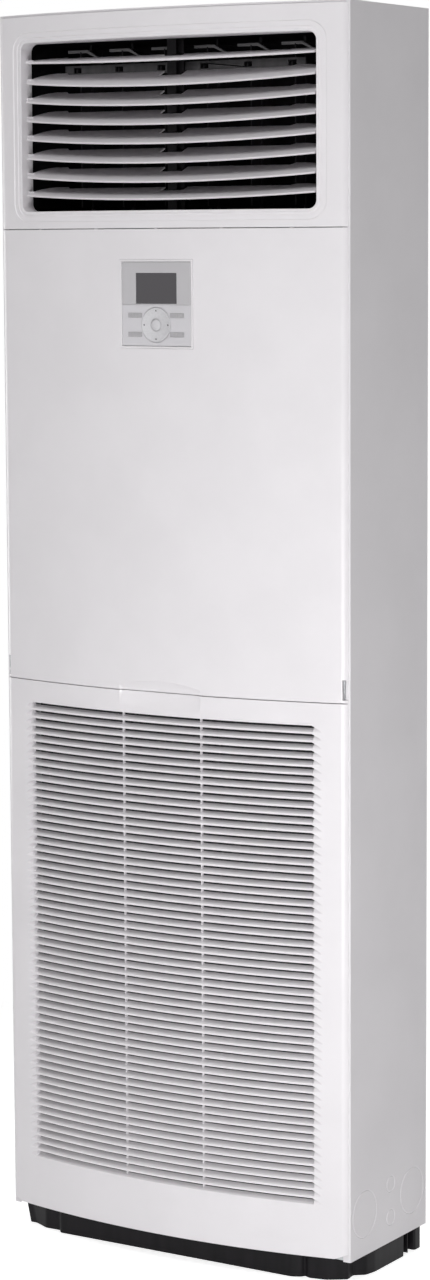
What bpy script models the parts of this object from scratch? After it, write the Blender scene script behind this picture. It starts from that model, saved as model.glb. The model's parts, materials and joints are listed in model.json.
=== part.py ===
"""Floor standing air conditioner: cabinet, outlet louvres and hinged suction grille.

Metres, +Z up. The front looks towards -Y, and the origin is on the floor under the
middle of the cabinet. Run it with: blender --background --python part.py
"""

import math

import bmesh
import bpy
from mathutils import Matrix, Vector

# Cabinet
WIDTH = 0.600
DEPTH = 0.270
HEIGHT = 1.850
FIT = 0.0003            # gap between pieces that touch
SHEET = 0.0012          # painted steel sheet
COVER_WALL = 0.003      # moulded front covers
COVER_FLANGE = 0.0025   # folded top and bottom edges of the covers
SIDE_FLANGE = 0.012     # front fold of the side panels, inwards
LID_THICKNESS = 0.0032  # hemmed lid
SEAM_GAP = 0.0011       # between one cover and the next
BIG = 0.5               # how far a cutter runs past what it cuts

# Plan of the front: one shallow arc between two small corner arcs
CORNER_RADIUS = 0.016
FRONT_BULGE = 0.0491    # depth from the middle of the front to the corner arcs' centres
SPLIT_AHEAD = 0.0088    # the covers end this far ahead of those centres
FACETS = 20             # facets of the shallow arc
CORNER_FACETS = 4

# Plinth
PLINTH_HEIGHT = 0.0385
PLINTH_INSET = 0.0107   # from the side panels to the plinth's sides
PLINTH_FRONT = 0.045    # from the middle of the front to the plinth's skirt
FOOT_WIDTH = 0.073
FOOT_SET_BACK = 0.009
FOOT_CORNER = 0.015
REAR_FOOT = 0.0197
REAR_NOTCH_LENGTH = 0.032
REAR_NOTCH_DEPTH = 0.016

# Outlet opening and the sleeve behind it
OPENING_SIDE = 0.047    # from the cabinet's side
OPENING_DROP = 0.042    # from the cabinet's top
OPENING_TALL = 0.246
OPENING_SILL = 0.0261   # from the opening down to the seam
OPENING_RADIUS = 0.012
BEZEL_MARGIN = 0.0155
BEZEL_STEP = 0.0012
GROOVE_MARGIN = 0.0075
GROOVE_DEPTH = 0.0022
LIP_WIDTH = 0.0035
OUTLET_WALL = 0.0035    # sleeve and duct
SLEEVE_BEHIND = 0.010   # the sleeve runs on behind the blades' pivots
DUCT_REAR = 0.035       # from the duct to the cabinet's back

# Horizontal blades
BLADE_COUNT = 8
TOP_BLADE_DROP = 0.026      # from the opening's top to the first pivot
BOTTOM_BLADE_RISE = 0.0275  # from the opening's foot to the last pivot
BLADE_PIVOT = 0.045     # from the middle of the front back to the pivot line
BLADE_SET_BACK = 0.007  # from the front surface to the blades' front edges
BLADE_END_GAP = 0.0055
BLADE_THICKNESS = 0.003
BLADE_TILT = 23.0       # degrees, front edge down
TOP_BLADE_TILT = 10.5
BOTTOM_BLADE_TILT = 18.5
BLADE_REAR = 0.018      # rear edge behind the pivot line
BLADE_END_EXTRA = 0.007     # how much further back the end zones reach
BLADE_END_ZONE = 0.057
BLADE_CHAMFER = 0.030
BLADE_END_EDGE = 0.004
BLADE_NOTCH = 0.008     # clearance beside the centre stay
BLADE_NOTCH_FRONT = 0.001
BLADE_FACETS = 12
PIN_RADIUS = 0.0025
PIN_CLEARANCE = 0.0003
PIN_SIDES = 8

# Centre stay
STAY_CENTRE = -0.006
STAY_WIDTH = 0.016
STAY_BEHIND = 0.011     # from the blades' pivots to its front
STAY_DEPTH = 0.015
HOOK_WIDTH = 0.008
HOOK_REACH = 0.0035
HOOK_TALL = 0.009

# Vertical vanes and their link
VANE_COUNT = 6
VANE_SIDE = 0.068       # from the opening's side to the outer vanes
VANE_FRONT = 0.028      # front edge ahead of the pivot
VANE_REAR = 0.030
VANE_THICKNESS = 0.002
VANE_END_GAP = 0.006
VANE_TOP_GAP = 0.012
TONGUE_TIP = 0.0013     # how far the vanes' tongues pass the link
TONGUE_TALL = 0.006
LINK_DROP = 0.040       # from the opening's top to the link's middle
LINK_TALL = 0.015
LINK_THICKNESS = 0.003
LINK_GAP = 0.0055       # from the link to the vanes' front edges
LINK_BEHIND_STAY = 0.0055
LINK_OVERHANG = 0.022
WINDOW_WIDTH = 0.014
WINDOW_ABOVE = 0.0015
CRANK_LEFT = 0.023
CRANK_FLAT = 0.012
CRANK_RIGHT = 0.031
CRANK_DROP = 0.0115
CRANK_STRIP = 0.0042
CRANK_DEPTH = 0.006

# Suction grille
COVER_LIFT = 0.0052     # from the plinth to the grille's lower edge
GRILLE_TALL = 0.8176
GRILLE_THICKNESS = 0.010
GRILLE_SIDE = 0.038     # from the cabinet's side to the thick part
SLOT_SIDE = 0.055       # from the cabinet's side to the slots' full depth
SLOT_TAPER = 0.019      # length of the slots' tapered ends
SLOT_SPACING = 0.012
SLOT_TALL = 0.0088
SLOT_SLOPE = 0.45       # rise of the slats per metre of depth
SLOT_OVERRUN = 0.002
SLOT_TOP_MARGIN = 0.0338
SLOT_BOTTOM_MARGIN = 0.082
RIB_CENTRE = 0.068
RIB_WIDTH = 0.003
SIDE_COLUMN_FACETS = 3
MIDDLE_COLUMN_FACETS = 2
CHAMFER_ACROSS = 0.022
CHAMFER_UP = 0.0088

# Grille hinge
HINGE_SIDE = 0.100      # from the cabinet's side to the tabs
HINGE_TAB = 0.008
HINGE_PIN = 0.002
HINGE_LUG = 0.0038
HINGE_ARM = 0.005
HINGE_ARM_TALL = 0.018

# Grip recess across the lower seam
GRIP_OVERLAP = 0.002    # past the middle of the grille's ribs
GRIP_BELOW = 0.0268
GRIP_ABOVE = 0.0172
GRIP_SHOULDER = 0.0092  # the arch's ends below its crown
GRIP_DEPTH = 0.0055
GRIP_DRAFT = 0.0083     # how far the side walls slope inwards
GRIP_WALL = 0.005
SCOOP_SIDES = 160       # of the large circle that the scoop is part of
ARCH_FACETS = 12

# Clips in the lower corners of the middle panel
CLIP_NOTCH_RISE = 0.0043
CLIP_NOTCH_TALL = 0.029
CLIP_NOTCH_ACROSS = 0.0095  # from the cabinet's side
CLIP_REACH = 0.0045
CLIP_THICKNESS = 0.002
CLIP_CLEARANCE = 0.001

# Filter behind the grille
FILTER_SIDE = 0.060     # from the cabinet's side
FILTER_RISE = 0.0613    # from the grille's lower edge
FILTER_DROP = 0.0263    # from the seam above it
FILTER_THICKNESS = 0.006
FILTER_FRAME = 0.012
FILTER_BAR = 0.006
FILTER_FABRIC = 0.0015
FILTER_COLUMNS = 3
FILTER_ROWS = 4

# Controller
CONTROL_WIDTH = 0.118
CONTROL_DROP = 0.0482   # from the seam above it
CONTROL_SINK = 0.0014   # its flat face behind the middle of the front
CONTROL_DEPTH = 0.016
CONTROL_GAP = 0.0006
SCREEN_WIDTH = 0.070
SCREEN_TALL = 0.0445
SCREEN_DROP = 0.0154
SCREEN_RECESS = 0.0012
SCREEN_THICKNESS = 0.0007
PAD_DROP = 0.0303       # from the screen to the middle of the pad
PAD_RISE = 0.0302       # from the controller's foot to the same
PAD_RADIUS = 0.0247
PAD_HOLE = 0.0095
CENTRE_KEY_GAP = 0.0015
KEY_PROUD = 0.0008
KEY_WIDTH = 0.024
KEY_TALL = 0.0066
KEY_TUCK = 0.0007       # the keys reach in beside the round pad
KEY_SPREAD = 0.0138     # above and below the middle of the pad
ROUND_SIDES = 28

# Knock-outs in the side panels
LARGE_KNOCKOUT = 0.036
SMALL_KNOCKOUT = 0.013
KNOCKOUT_GROOVE = 0.0018
KNOCKOUT_DEPTH = 0.0005
LARGE_RISE = 0.0627     # from the panel's foot
LARGE_FRONT = 0.0422    # from the panel's front to the first large one
LARGE_REAR = 0.0445     # from its back to the second
SMALL_LOW_RISE = 0.0377
SMALL_HIGH_RISE = 0.0887
SMALL_OFFSET = 0.0065   # behind the middle between the large ones
SMALL_SIDES = 16

# Values worked out from the sizes above
FRONT = -DEPTH / 2
BACK = DEPTH / 2
HALF = WIDTH / 2
CORNER_X = HALF - CORNER_RADIUS
CORNER_Y = FRONT + FRONT_BULGE
BULGE_RADIUS = (CORNER_X**2 + FRONT_BULGE**2 - CORNER_RADIUS**2) / (2 * (FRONT_BULGE - CORNER_RADIUS))
BULGE_CENTRE = FRONT + BULGE_RADIUS
SPLIT = CORNER_Y - SPLIT_AHEAD
COVER_TOP = HEIGHT - LID_THICKNESS - FIT
COVER_BOTTOM = PLINTH_HEIGHT + COVER_LIFT
OPENING_HALF = HALF - OPENING_SIDE
OPENING_HIGH = HEIGHT - OPENING_DROP
OPENING_LOW = OPENING_HIGH - OPENING_TALL
UPPER_SEAM = OPENING_LOW - OPENING_SILL
LOWER_SEAM = COVER_BOTTOM + GRILLE_TALL
BLADE_PIVOT_Y = FRONT + BLADE_PIVOT
BLADE_STEP = (OPENING_TALL - TOP_BLADE_DROP - BOTTOM_BLADE_RISE) / (BLADE_COUNT - 1)
SLEEVE_BACK = BLADE_PIVOT_Y + SLEEVE_BEHIND
STAY_FRONT = BLADE_PIVOT_Y + STAY_BEHIND
LINK_FRONT = STAY_FRONT + STAY_DEPTH + LINK_BEHIND_STAY
LINK_BACK = LINK_FRONT + LINK_THICKNESS
LINK_CENTRE = OPENING_HIGH - LINK_DROP
VANE_PIVOT_Y = LINK_BACK + LINK_GAP + VANE_FRONT
VANE_STEP = 2 * (OPENING_HALF - VANE_SIDE) / (VANE_COUNT - 1)
GRILLE_SOLID = HALF - GRILLE_SIDE
SLOT_HALF = HALF - SLOT_SIDE
FIRST_SLOT = LOWER_SEAM - SLOT_TOP_MARGIN
SLOT_ROWS = int((GRILLE_TALL - SLOT_TOP_MARGIN - SLOT_BOTTOM_MARGIN) / SLOT_SPACING) + 1
HINGE_X = HALF - HINGE_SIDE
HINGE_Y = SPLIT - HINGE_LUG
HINGE_Z = COVER_BOTTOM + HINGE_LUG
GRIP_HALF = RIB_CENTRE + GRIP_OVERLAP
GRIP_LOW = LOWER_SEAM - GRIP_BELOW
GRIP_HIGH = LOWER_SEAM + GRIP_ABOVE
FILTER_HALF = HALF - FILTER_SIDE
FILTER_FRONT = SPLIT + FIT
FILTER_LOW = COVER_BOTTOM + FILTER_RISE
FILTER_HIGH = LOWER_SEAM - FILTER_DROP
CASING_FRONT = FILTER_FRONT + FILTER_THICKNESS + FIT
CASING_TOP = OPENING_LOW - OUTLET_WALL - FIT
PANEL_FOOT = PLINTH_HEIGHT + FIT
CONTROL_HALF = CONTROL_WIDTH / 2
CONTROL_FACE = FRONT + CONTROL_SINK
CONTROL_HIGH = UPPER_SEAM - CONTROL_DROP
SCREEN_HIGH = CONTROL_HIGH - SCREEN_DROP
SCREEN_LOW = SCREEN_HIGH - SCREEN_TALL
PAD_CENTRE = SCREEN_LOW - PAD_DROP
CONTROL_LOW = PAD_CENTRE - PAD_RISE
KEY_X = PAD_RADIUS - KEY_TUCK + KEY_WIDTH / 2


def clear_objects():
    for old in list(bpy.data.objects):
        bpy.data.objects.remove(old, do_unlink=True)


def new_collection(name):
    made = bpy.data.collections.new(name)
    bpy.context.scene.collection.children.link(made)
    return made


def finish(name, colour, roughness, metallic=0.0):
    made = bpy.data.materials.new(name)
    made.use_nodes = True
    shader = made.node_tree.nodes["Principled BSDF"]
    shader.inputs["Base Color"].default_value = (*colour, 1.0)
    shader.inputs["Roughness"].default_value = roughness
    shader.inputs["Metallic"].default_value = metallic
    return made


clear_objects()
PARTS = new_collection("floor_standing_air_conditioner")
CUTTERS = new_collection("cutters")
COVER_WHITE = finish("cover_white", (0.80, 0.79, 0.80), 0.35)
SHEET_WHITE = finish("sheet_white", (0.72, 0.71, 0.72), 0.45)
LOUVRE_GREY = finish("louvre_grey", (0.52, 0.51, 0.52), 0.45)
BLACK_PLASTIC = finish("black_plastic", (0.015, 0.014, 0.016), 0.5)
LINK_GREY = finish("link_grey", (0.12, 0.12, 0.12), 0.4)
SCREEN_DARK = finish("screen_dark", (0.08, 0.08, 0.085), 0.2)
KEY_GREY = finish("key_grey", (0.62, 0.62, 0.63), 0.5)
FILTER_DARK = finish("filter_dark", (0.05, 0.05, 0.055), 0.8)
GALVANISED = finish("galvanised", (0.45, 0.46, 0.47), 0.45, 0.9)


def weld(mesh):
    cage = bmesh.new()
    cage.from_mesh(mesh)
    bmesh.ops.remove_doubles(cage, verts=cage.verts, dist=1e-6)
    cage.to_mesh(mesh)
    cage.free()


def place(name, mesh, matrix, material=None):
    """A part where a material is given, and otherwise a cutter."""
    made = bpy.data.objects.new(name, mesh)
    made.matrix_world = matrix
    if material is None:
        CUTTERS.objects.link(made)
        made.hide_render = True
        made.display_type = "WIRE"
    else:
        PARTS.objects.link(made)
        mesh.materials.clear()
        mesh.materials.append(material)
    return made


def outline_matrix(axis, middle):
    """Turns an outline drawn in X and Y so that it is extruded along the axis."""
    if axis == "X":
        turn = Matrix(((0, 0, 1, 0), (1, 0, 0, 0), (0, 1, 0, 0), (0, 0, 0, 1)))
        return Matrix.Translation((middle, 0, 0)) @ turn
    if axis == "Y":
        return Matrix.Translation((0, middle, 0)) @ Matrix.Rotation(math.pi / 2, 4, "X")
    return Matrix.Translation((0, 0, middle))


def extruded(name, outlines, low, high, axis="Z", material=None, matrix=None):
    """A flat outline, with any holes in it, given a thickness from low to high."""
    curve = bpy.data.curves.new(name, "CURVE")
    curve.dimensions = "2D"
    curve.fill_mode = "BOTH"
    curve.extrude = (high - low) / 2
    for points in outlines:
        spline = curve.splines.new("POLY")
        spline.points.add(len(points) - 1)
        for corner, (u, v) in zip(spline.points, points):
            corner.co = (u, v, 0, 1)
        spline.use_cyclic_u = True
    drawn = bpy.data.objects.new(name, curve)
    bpy.context.scene.collection.objects.link(drawn)
    drawn.matrix_world = outline_matrix(axis, (low + high) / 2)
    if matrix is not None:
        drawn.matrix_world = matrix @ drawn.matrix_world
    bpy.context.view_layer.update()
    mesh = bpy.data.meshes.new_from_object(drawn.evaluated_get(bpy.context.evaluated_depsgraph_get()))
    matrix_world = drawn.matrix_world.copy()
    bpy.data.objects.remove(drawn, do_unlink=True)
    weld(mesh)
    mesh.name = name
    return place(name, mesh, matrix_world, material)


def combine(piece, other, operation="DIFFERENCE"):
    cut = piece.modifiers.new(other.name, "BOOLEAN")
    cut.operation = operation
    cut.solver = "EXACT"
    cut.object = other
    return piece


def box(name, x_range, y_range, z_range, material=None):
    (x0, x1), (y0, y1), (z0, z1) = x_range, y_range, z_range
    cage = bmesh.new()
    bmesh.ops.create_cube(cage, size=1.0)
    bmesh.ops.scale(cage, vec=(x1 - x0, y1 - y0, z1 - z0), verts=cage.verts)
    mesh = bpy.data.meshes.new(name)
    cage.to_mesh(mesh)
    cage.free()
    middle = ((x0 + x1) / 2, (y0 + y1) / 2, (z0 + z1) / 2)
    return place(name, mesh, Matrix.Translation(middle), material)


def rod(name, radius, low, high, axis, centre, material=None, sides=PIN_SIDES):
    cage = bmesh.new()
    bmesh.ops.create_cone(
        cage, cap_ends=True, segments=sides, radius1=radius, radius2=radius, depth=high - low
    )
    mesh = bpy.data.meshes.new(name)
    cage.to_mesh(mesh)
    cage.free()
    return place(name, mesh, Matrix.Translation(centre) @ outline_matrix(axis, (low + high) / 2), material)


def rounded_rectangle(half_width, low, high, radius, steps=4):
    points = []
    for corner in range(4):
        sx = 1 if corner in (0, 3) else -1
        sz = 1 if corner in (0, 1) else -1
        cx = sx * (half_width - radius)
        cz = (high - radius) if sz > 0 else (low + radius)
        for step in range(steps + 1):
            angle = math.pi / 2 * (corner + step / steps)
            points.append((cx + radius * math.cos(angle), cz + radius * math.sin(angle)))
    return points


def front_y(x, inset=0.0):
    return BULGE_CENTRE - math.sqrt((BULGE_RADIUS - inset) ** 2 - x * x)


def bulge_arc(inset, x_from, x_to, facets):
    """Points along the front's shallow arc, seen from above."""
    radius = BULGE_RADIUS - inset
    start = math.asin(x_from / radius)
    stop = math.asin(x_to / radius)
    angles = [start + (stop - start) * step / facets for step in range(facets + 1)]
    return [(radius * math.sin(a), BULGE_CENTRE - radius * math.cos(a)) for a in angles]


def corner_arc(inset, stop_y):
    """Points round the right front corner, from the shallow arc to the depth stop_y."""
    radius = CORNER_RADIUS - inset
    start = math.atan2(CORNER_X, BULGE_CENTRE - CORNER_Y)
    stop = math.acos((CORNER_Y - stop_y) / radius)
    angles = [start + (stop - start) * step / CORNER_FACETS for step in range(1, CORNER_FACETS + 1)]
    return [(CORNER_X + radius * math.sin(a), CORNER_Y - radius * math.cos(a)) for a in angles]


def mirrored(points):
    return [(-x, y) for x, y in reversed(points)]


def front_curve(inset, stop_y, stations=None):
    """The whole front seen from above, left to right, with any chosen stations in X."""
    tangent = CORNER_X * (BULGE_RADIUS - inset) / (BULGE_RADIUS - CORNER_RADIUS)
    if stations is None:
        middle = bulge_arc(inset, -tangent, tangent, FACETS)
    else:
        inner = [(x, front_y(x, inset)) for x in stations]
        middle = [(-tangent, front_y(tangent, inset)), *inner, (tangent, front_y(tangent, inset))]
    corner = corner_arc(inset, stop_y)
    return mirrored(corner) + middle + corner


def add_plinth():
    side = HALF - PLINTH_INSET
    skirt = FRONT + PLINTH_FRONT
    foot = skirt + FOOT_SET_BACK
    rear_foot = BACK - REAR_FOOT
    half = [
        (side - FOOT_WIDTH, skirt),
        (side - FOOT_WIDTH, foot),
        (side - FOOT_WIDTH / 2, foot),
        (side - FOOT_CORNER, foot + FOOT_CORNER),
        (side, foot + 2 * FOOT_CORNER),
        (side, rear_foot - REAR_NOTCH_LENGTH),
        (side - REAR_NOTCH_DEPTH, rear_foot - REAR_NOTCH_LENGTH),
        (side - REAR_NOTCH_DEPTH, rear_foot),
        (side, rear_foot),
        (side, BACK - FIT),
    ]
    extruded("base_plinth", [mirrored(half) + half], 0, PLINTH_HEIGHT, material=BLACK_PLASTIC)


def circle(u, v, radius, sides):
    turns = [2 * math.pi * step / sides for step in range(sides)]
    return [(u + radius * math.cos(a), v + radius * math.sin(a)) for a in turns]


def knockout_groove(name, y, z, radius, sides, x_low, x_high):
    """The round groove pressed into the sheet along which a knock-out breaks."""
    ring = [circle(y, z, radius, sides), circle(y, z, radius - KNOCKOUT_GROOVE, sides)]
    return extruded(name, ring, x_low, x_high, "X")


def add_side_panel(name, side):
    flange_y = SPLIT + FIT
    plan = [
        (HALF - SIDE_FLANGE, flange_y),
        (HALF, flange_y),
        (HALF, BACK),
        (HALF - SHEET, BACK),
        (HALF - SHEET, flange_y + SHEET),
        (HALF - SIDE_FLANGE, flange_y + SHEET),
    ]
    if side < 0:
        plan = mirrored(plan)
    panel = extruded(name, [plan], PANEL_FOOT, HEIGHT, material=SHEET_WHITE)
    x_low, x_high = sorted((side * (HALF - KNOCKOUT_DEPTH), side * (HALF + KNOCKOUT_DEPTH)))
    front, rear = flange_y + LARGE_FRONT, BACK - LARGE_REAR
    middle = (front + rear) / 2 + SMALL_OFFSET
    holes = [(y, LARGE_RISE, LARGE_KNOCKOUT, ROUND_SIDES) for y in (front, rear)]
    holes += [(middle, rise, SMALL_KNOCKOUT, SMALL_SIDES) for rise in (SMALL_LOW_RISE, SMALL_HIGH_RISE)]
    for index, (y, rise, radius, sides) in enumerate(holes):
        label = f"{name}_knockout_{index}"
        combine(panel, knockout_groove(label, y, PANEL_FOOT + rise, radius, sides, x_low, x_high))


def add_rear_panel():
    half = HALF - SHEET - FIT
    box(
        "rear_panel", (-half, half), (BACK - SHEET, BACK),
        (PANEL_FOOT, COVER_TOP), SHEET_WHITE,
    )


def add_lid():
    inner = HALF - SHEET - FIT
    flange_back = SPLIT + SHEET + 2 * FIT
    flange_edge = HALF - SIDE_FLANGE - FIT
    curve = front_curve(COVER_WALL, SPLIT)
    right = [(flange_edge, SPLIT), (flange_edge, flange_back), (inner, flange_back), (inner, BACK)]
    extruded(
        "top_plate", [curve + right + mirrored(right)], HEIGHT - LID_THICKNESS, HEIGHT,
        material=SHEET_WHITE,
    )


def cover_block(name, low, high):
    """The solid that a cover is hollowed from."""
    return extruded(name, [front_curve(0.0, SPLIT)], low, high, material=COVER_WHITE)


def cover_hollow(name, low, high, keep=None):
    """The space behind a cover's wall, less the block that stays solid in it."""
    curve = front_curve(COVER_WALL, SPLIT)
    ends = [(curve[-1][0], BACK), (curve[0][0], BACK)]
    hollow = extruded(name, [curve + ends], low + COVER_FLANGE, high - COVER_FLANGE)
    if keep is not None:
        combine(hollow, keep)
    return hollow


def opening_prism(name, margin, back=BIG):
    outline = rounded_rectangle(
        OPENING_HALF + margin, OPENING_LOW - margin, OPENING_HIGH + margin, OPENING_RADIUS + margin
    )
    return extruded(name, [outline], -BIG, back, "Y")


def front_skin(name, depth, low, high):
    """Everything ahead of a surface that lies at one depth behind the front."""
    curve = bulge_arc(depth, -OPENING_HALF - 2 * BEZEL_MARGIN, OPENING_HALF + 2 * BEZEL_MARGIN, FACETS)
    ahead = [(curve[-1][0], -BIG), (curve[0][0], -BIG)]
    return extruded(name, [curve + ahead], low, high)


def blade_heights():
    return [OPENING_HIGH - TOP_BLADE_DROP - BLADE_STEP * index for index in range(BLADE_COUNT)]


def add_outlet_panel():
    low = UPPER_SEAM + SEAM_GAP / 2
    panel = cover_block("outlet_panel", low, COVER_TOP)
    combine(panel, cover_hollow("outlet_hollow", low, COVER_TOP))
    sleeve = opening_prism("sleeve_outside", OUTLET_WALL, SLEEVE_BACK)
    combine(sleeve, front_skin("sleeve_start", COVER_WALL / 2, low, COVER_TOP))
    combine(panel, sleeve, "UNION")
    step = opening_prism("bezel_step", BEZEL_MARGIN)
    combine(step, front_skin("bezel_step_depth", BEZEL_STEP, low, COVER_TOP), "INTERSECT")
    combine(panel, step)
    groove = opening_prism("bezel_groove", GROOVE_MARGIN)
    combine(groove, front_skin("bezel_groove_depth", GROOVE_DEPTH, low, COVER_TOP), "INTERSECT")
    combine(groove, opening_prism("bezel_lip", LIP_WIDTH))
    combine(panel, groove)
    combine(panel, opening_prism("outlet_opening", 0.0))
    for side in (-1, 1):
        inner, outer = OPENING_HALF - OUTLET_WALL, OPENING_HALF + 2 * OUTLET_WALL
        low_x, high_x = sorted((side * inner, side * outer))
        holes = rod(
            f"pin_holes_{'left' if side < 0 else 'right'}", PIN_RADIUS + PIN_CLEARANCE,
            low_x, high_x, "X", (0, BLADE_PIVOT_Y, blade_heights()[0]),
        )
        repeat(holes, BLADE_COUNT, (0, 0, -BLADE_STEP))
        combine(panel, holes)


def repeat(piece, count, step):
    """An array along a world direction, for a piece whose axes may be turned."""
    local = piece.matrix_world.to_3x3().inverted() @ Vector(step)
    array = piece.modifiers.new("repeat", "ARRAY")
    array.count = count
    array.use_relative_offset = False
    array.use_constant_offset = True
    array.constant_offset_displace = local
    array.use_merge_vertices = False


def add_middle_panel():
    low = LOWER_SEAM + SEAM_GAP / 2
    high = UPPER_SEAM - SEAM_GAP / 2
    panel = cover_block("middle_panel", low, high)
    block = grip_block("grip_block_above", low - SEAM_GAP, GRIP_HIGH + GRIP_WALL)
    combine(panel, cover_hollow("middle_hollow", low, high, block))
    combine(panel, grip_scoop("grip_scoop_above"))
    gap = CONTROL_GAP
    combine(panel, box(
        "controller_pocket", (-CONTROL_HALF - gap, CONTROL_HALF + gap), (-BIG, 0),
        (CONTROL_LOW - gap, CONTROL_HIGH + gap),
    ))
    foot = low + CLIP_NOTCH_RISE
    for side in (-1, 1):
        x_low, x_high = sorted((side * (HALF - CLIP_NOTCH_ACROSS), side * HALF))
        combine(panel, box(
            f"clip_notch_{side + 1}", (x_low, x_high), (SPLIT - CORNER_RADIUS, SPLIT + COVER_WALL),
            (foot, foot + CLIP_NOTCH_TALL),
        ))


def add_clips():
    """A leaf with a hooked foot on each side panel's fold, inside the panel's notch."""
    foot = LOWER_SEAM + SEAM_GAP / 2 + CLIP_NOTCH_RISE + CLIP_CLEARANCE
    tall = CLIP_NOTCH_TALL - 2 * CLIP_CLEARANCE
    shape = [(0, 0), (0.5, 0), (0.8, 0.12), (0.5, 0.24), (0.9, 0.38), (1, 1), (0, 1)]
    leaf = [(SPLIT - CLIP_REACH * ahead, foot + tall * up) for ahead, up in shape]
    inner = HALF - CLIP_NOTCH_ACROSS + CLIP_CLEARANCE
    outer = inner + CLIP_THICKNESS
    extruded("cover_clip_right", [leaf], inner, outer, "X", GALVANISED)
    extruded("cover_clip_left", [leaf], -outer, -inner, "X", GALVANISED)


def grip_block(name, low, high):
    half = GRIP_HALF + GRIP_WALL
    return box(name, (-half, half), (-BIG, FRONT + GRIP_DEPTH + GRIP_WALL), (low, high))


def grip_scoop(name):
    """A round scoop along X, whose circle passes through the recess's lower edge, its
    deepest line and its upper edge, under an arch and between sloping side walls."""
    half = (GRIP_HIGH - GRIP_LOW) / 2
    radius = (half**2 + GRIP_DEPTH**2) / (2 * GRIP_DEPTH)
    centre = (0, FRONT + GRIP_DEPTH - radius, (GRIP_LOW + GRIP_HIGH) / 2)
    scoop = rod(name, radius, -GRIP_HALF, GRIP_HALF, "X", centre, sides=SCOOP_SIDES)
    arch_radius = (GRIP_HALF**2 + GRIP_SHOULDER**2) / (2 * GRIP_SHOULDER)
    reach = math.asin(GRIP_HALF / arch_radius)
    turns = [reach * (1 - 2 * step / ARCH_FACETS) for step in range(ARCH_FACETS + 1)]
    arch_centre = GRIP_HIGH - arch_radius
    arch = [(arch_radius * math.sin(a), arch_centre + arch_radius * math.cos(a)) for a in turns]
    outline = arch + [(-GRIP_HALF, GRIP_LOW - GRIP_WALL), (GRIP_HALF, GRIP_LOW - GRIP_WALL)]
    combine(scoop, extruded(f"{name}_arch", [outline], -BIG, BIG, "Y"), "INTERSECT")
    ahead, behind = front_y(GRIP_HALF) - GRIP_DEPTH, front_y(GRIP_HALF) + GRIP_DEPTH
    wide, narrow = GRIP_HALF + GRIP_DRAFT, GRIP_HALF - GRIP_DRAFT
    plan = [(-wide, ahead), (wide, ahead), (narrow, behind), (-narrow, behind)]
    combine(scoop, extruded(f"{name}_sides", [plan], GRIP_LOW - BIG, GRIP_HIGH + BIG), "INTERSECT")
    return scoop


def slot_stations():
    """Where the facets of the grille change, so that slats and frame share their edges."""
    middle, outer = RIB_CENTRE - RIB_WIDTH / 2, RIB_CENTRE + RIB_WIDTH / 2
    inside = [middle * (2 * i / MIDDLE_COLUMN_FACETS - 1) for i in range(MIDDLE_COLUMN_FACETS + 1)]
    width = SLOT_HALF - outer
    side = [outer + width * i / SIDE_COLUMN_FACETS for i in range(SIDE_COLUMN_FACETS + 1)]
    return [-x for x in reversed(side)], inside, side


def slot_cutter(name, stations, taper=0):
    """One sloping slot, lofted through its stations and repeated down the grille. On the
    side that taper names it runs out to a point on the surface."""
    section = []
    for depth in (-SLOT_OVERRUN, GRILLE_THICKNESS + SLOT_OVERRUN):
        section += [(depth, depth * SLOT_SLOPE), (depth, depth * SLOT_SLOPE - SLOT_TALL)]
    section[2], section[3] = section[3], section[2]
    cage = bmesh.new()
    rings = [[cage.verts.new((x, front_y(x, d), z)) for d, z in section] for x in stations]
    for near, far in zip(rings, rings[1:]):
        for i, j in ((0, 1), (1, 2), (2, 3), (3, 0)):
            cage.faces.new((near[i], near[j], far[j], far[i]))
    for side, ring in ((-1, rings[0]), (1, rings[-1])):
        if side != taper:
            cage.faces.new(ring)
            continue
        tip = side * (SLOT_HALF + SLOT_TAPER)
        apex = cage.verts.new((tip, front_y(tip, -SLOT_OVERRUN), -SLOT_TALL))
        for i, j in ((0, 1), (1, 2), (2, 3), (3, 0)):
            cage.faces.new((ring[i], ring[j], apex))
    bmesh.ops.recalc_face_normals(cage, faces=cage.faces)
    mesh = bpy.data.meshes.new(name)
    cage.to_mesh(mesh)
    cage.free()
    cutter = place(name, mesh, Matrix.Translation((0, 0, FIRST_SLOT)))
    repeat(cutter, SLOT_ROWS, (0, 0, -SLOT_SPACING))
    return cutter


def half_round(side):
    """A half circle of the lugs' radius, round the hinge axis, facing back or front."""
    turns = [math.pi * step / 6 for step in range(7)]
    points = [(HINGE_LUG * math.sin(a), HINGE_LUG * math.cos(a)) for a in turns]
    return [(HINGE_Y + side * y, HINGE_Z + z) for y, z in points]


def hinge_tab_outline(front):
    return [(front, HINGE_Z + HINGE_LUG), *half_round(1), (front, HINGE_Z - HINGE_LUG)]


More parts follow.
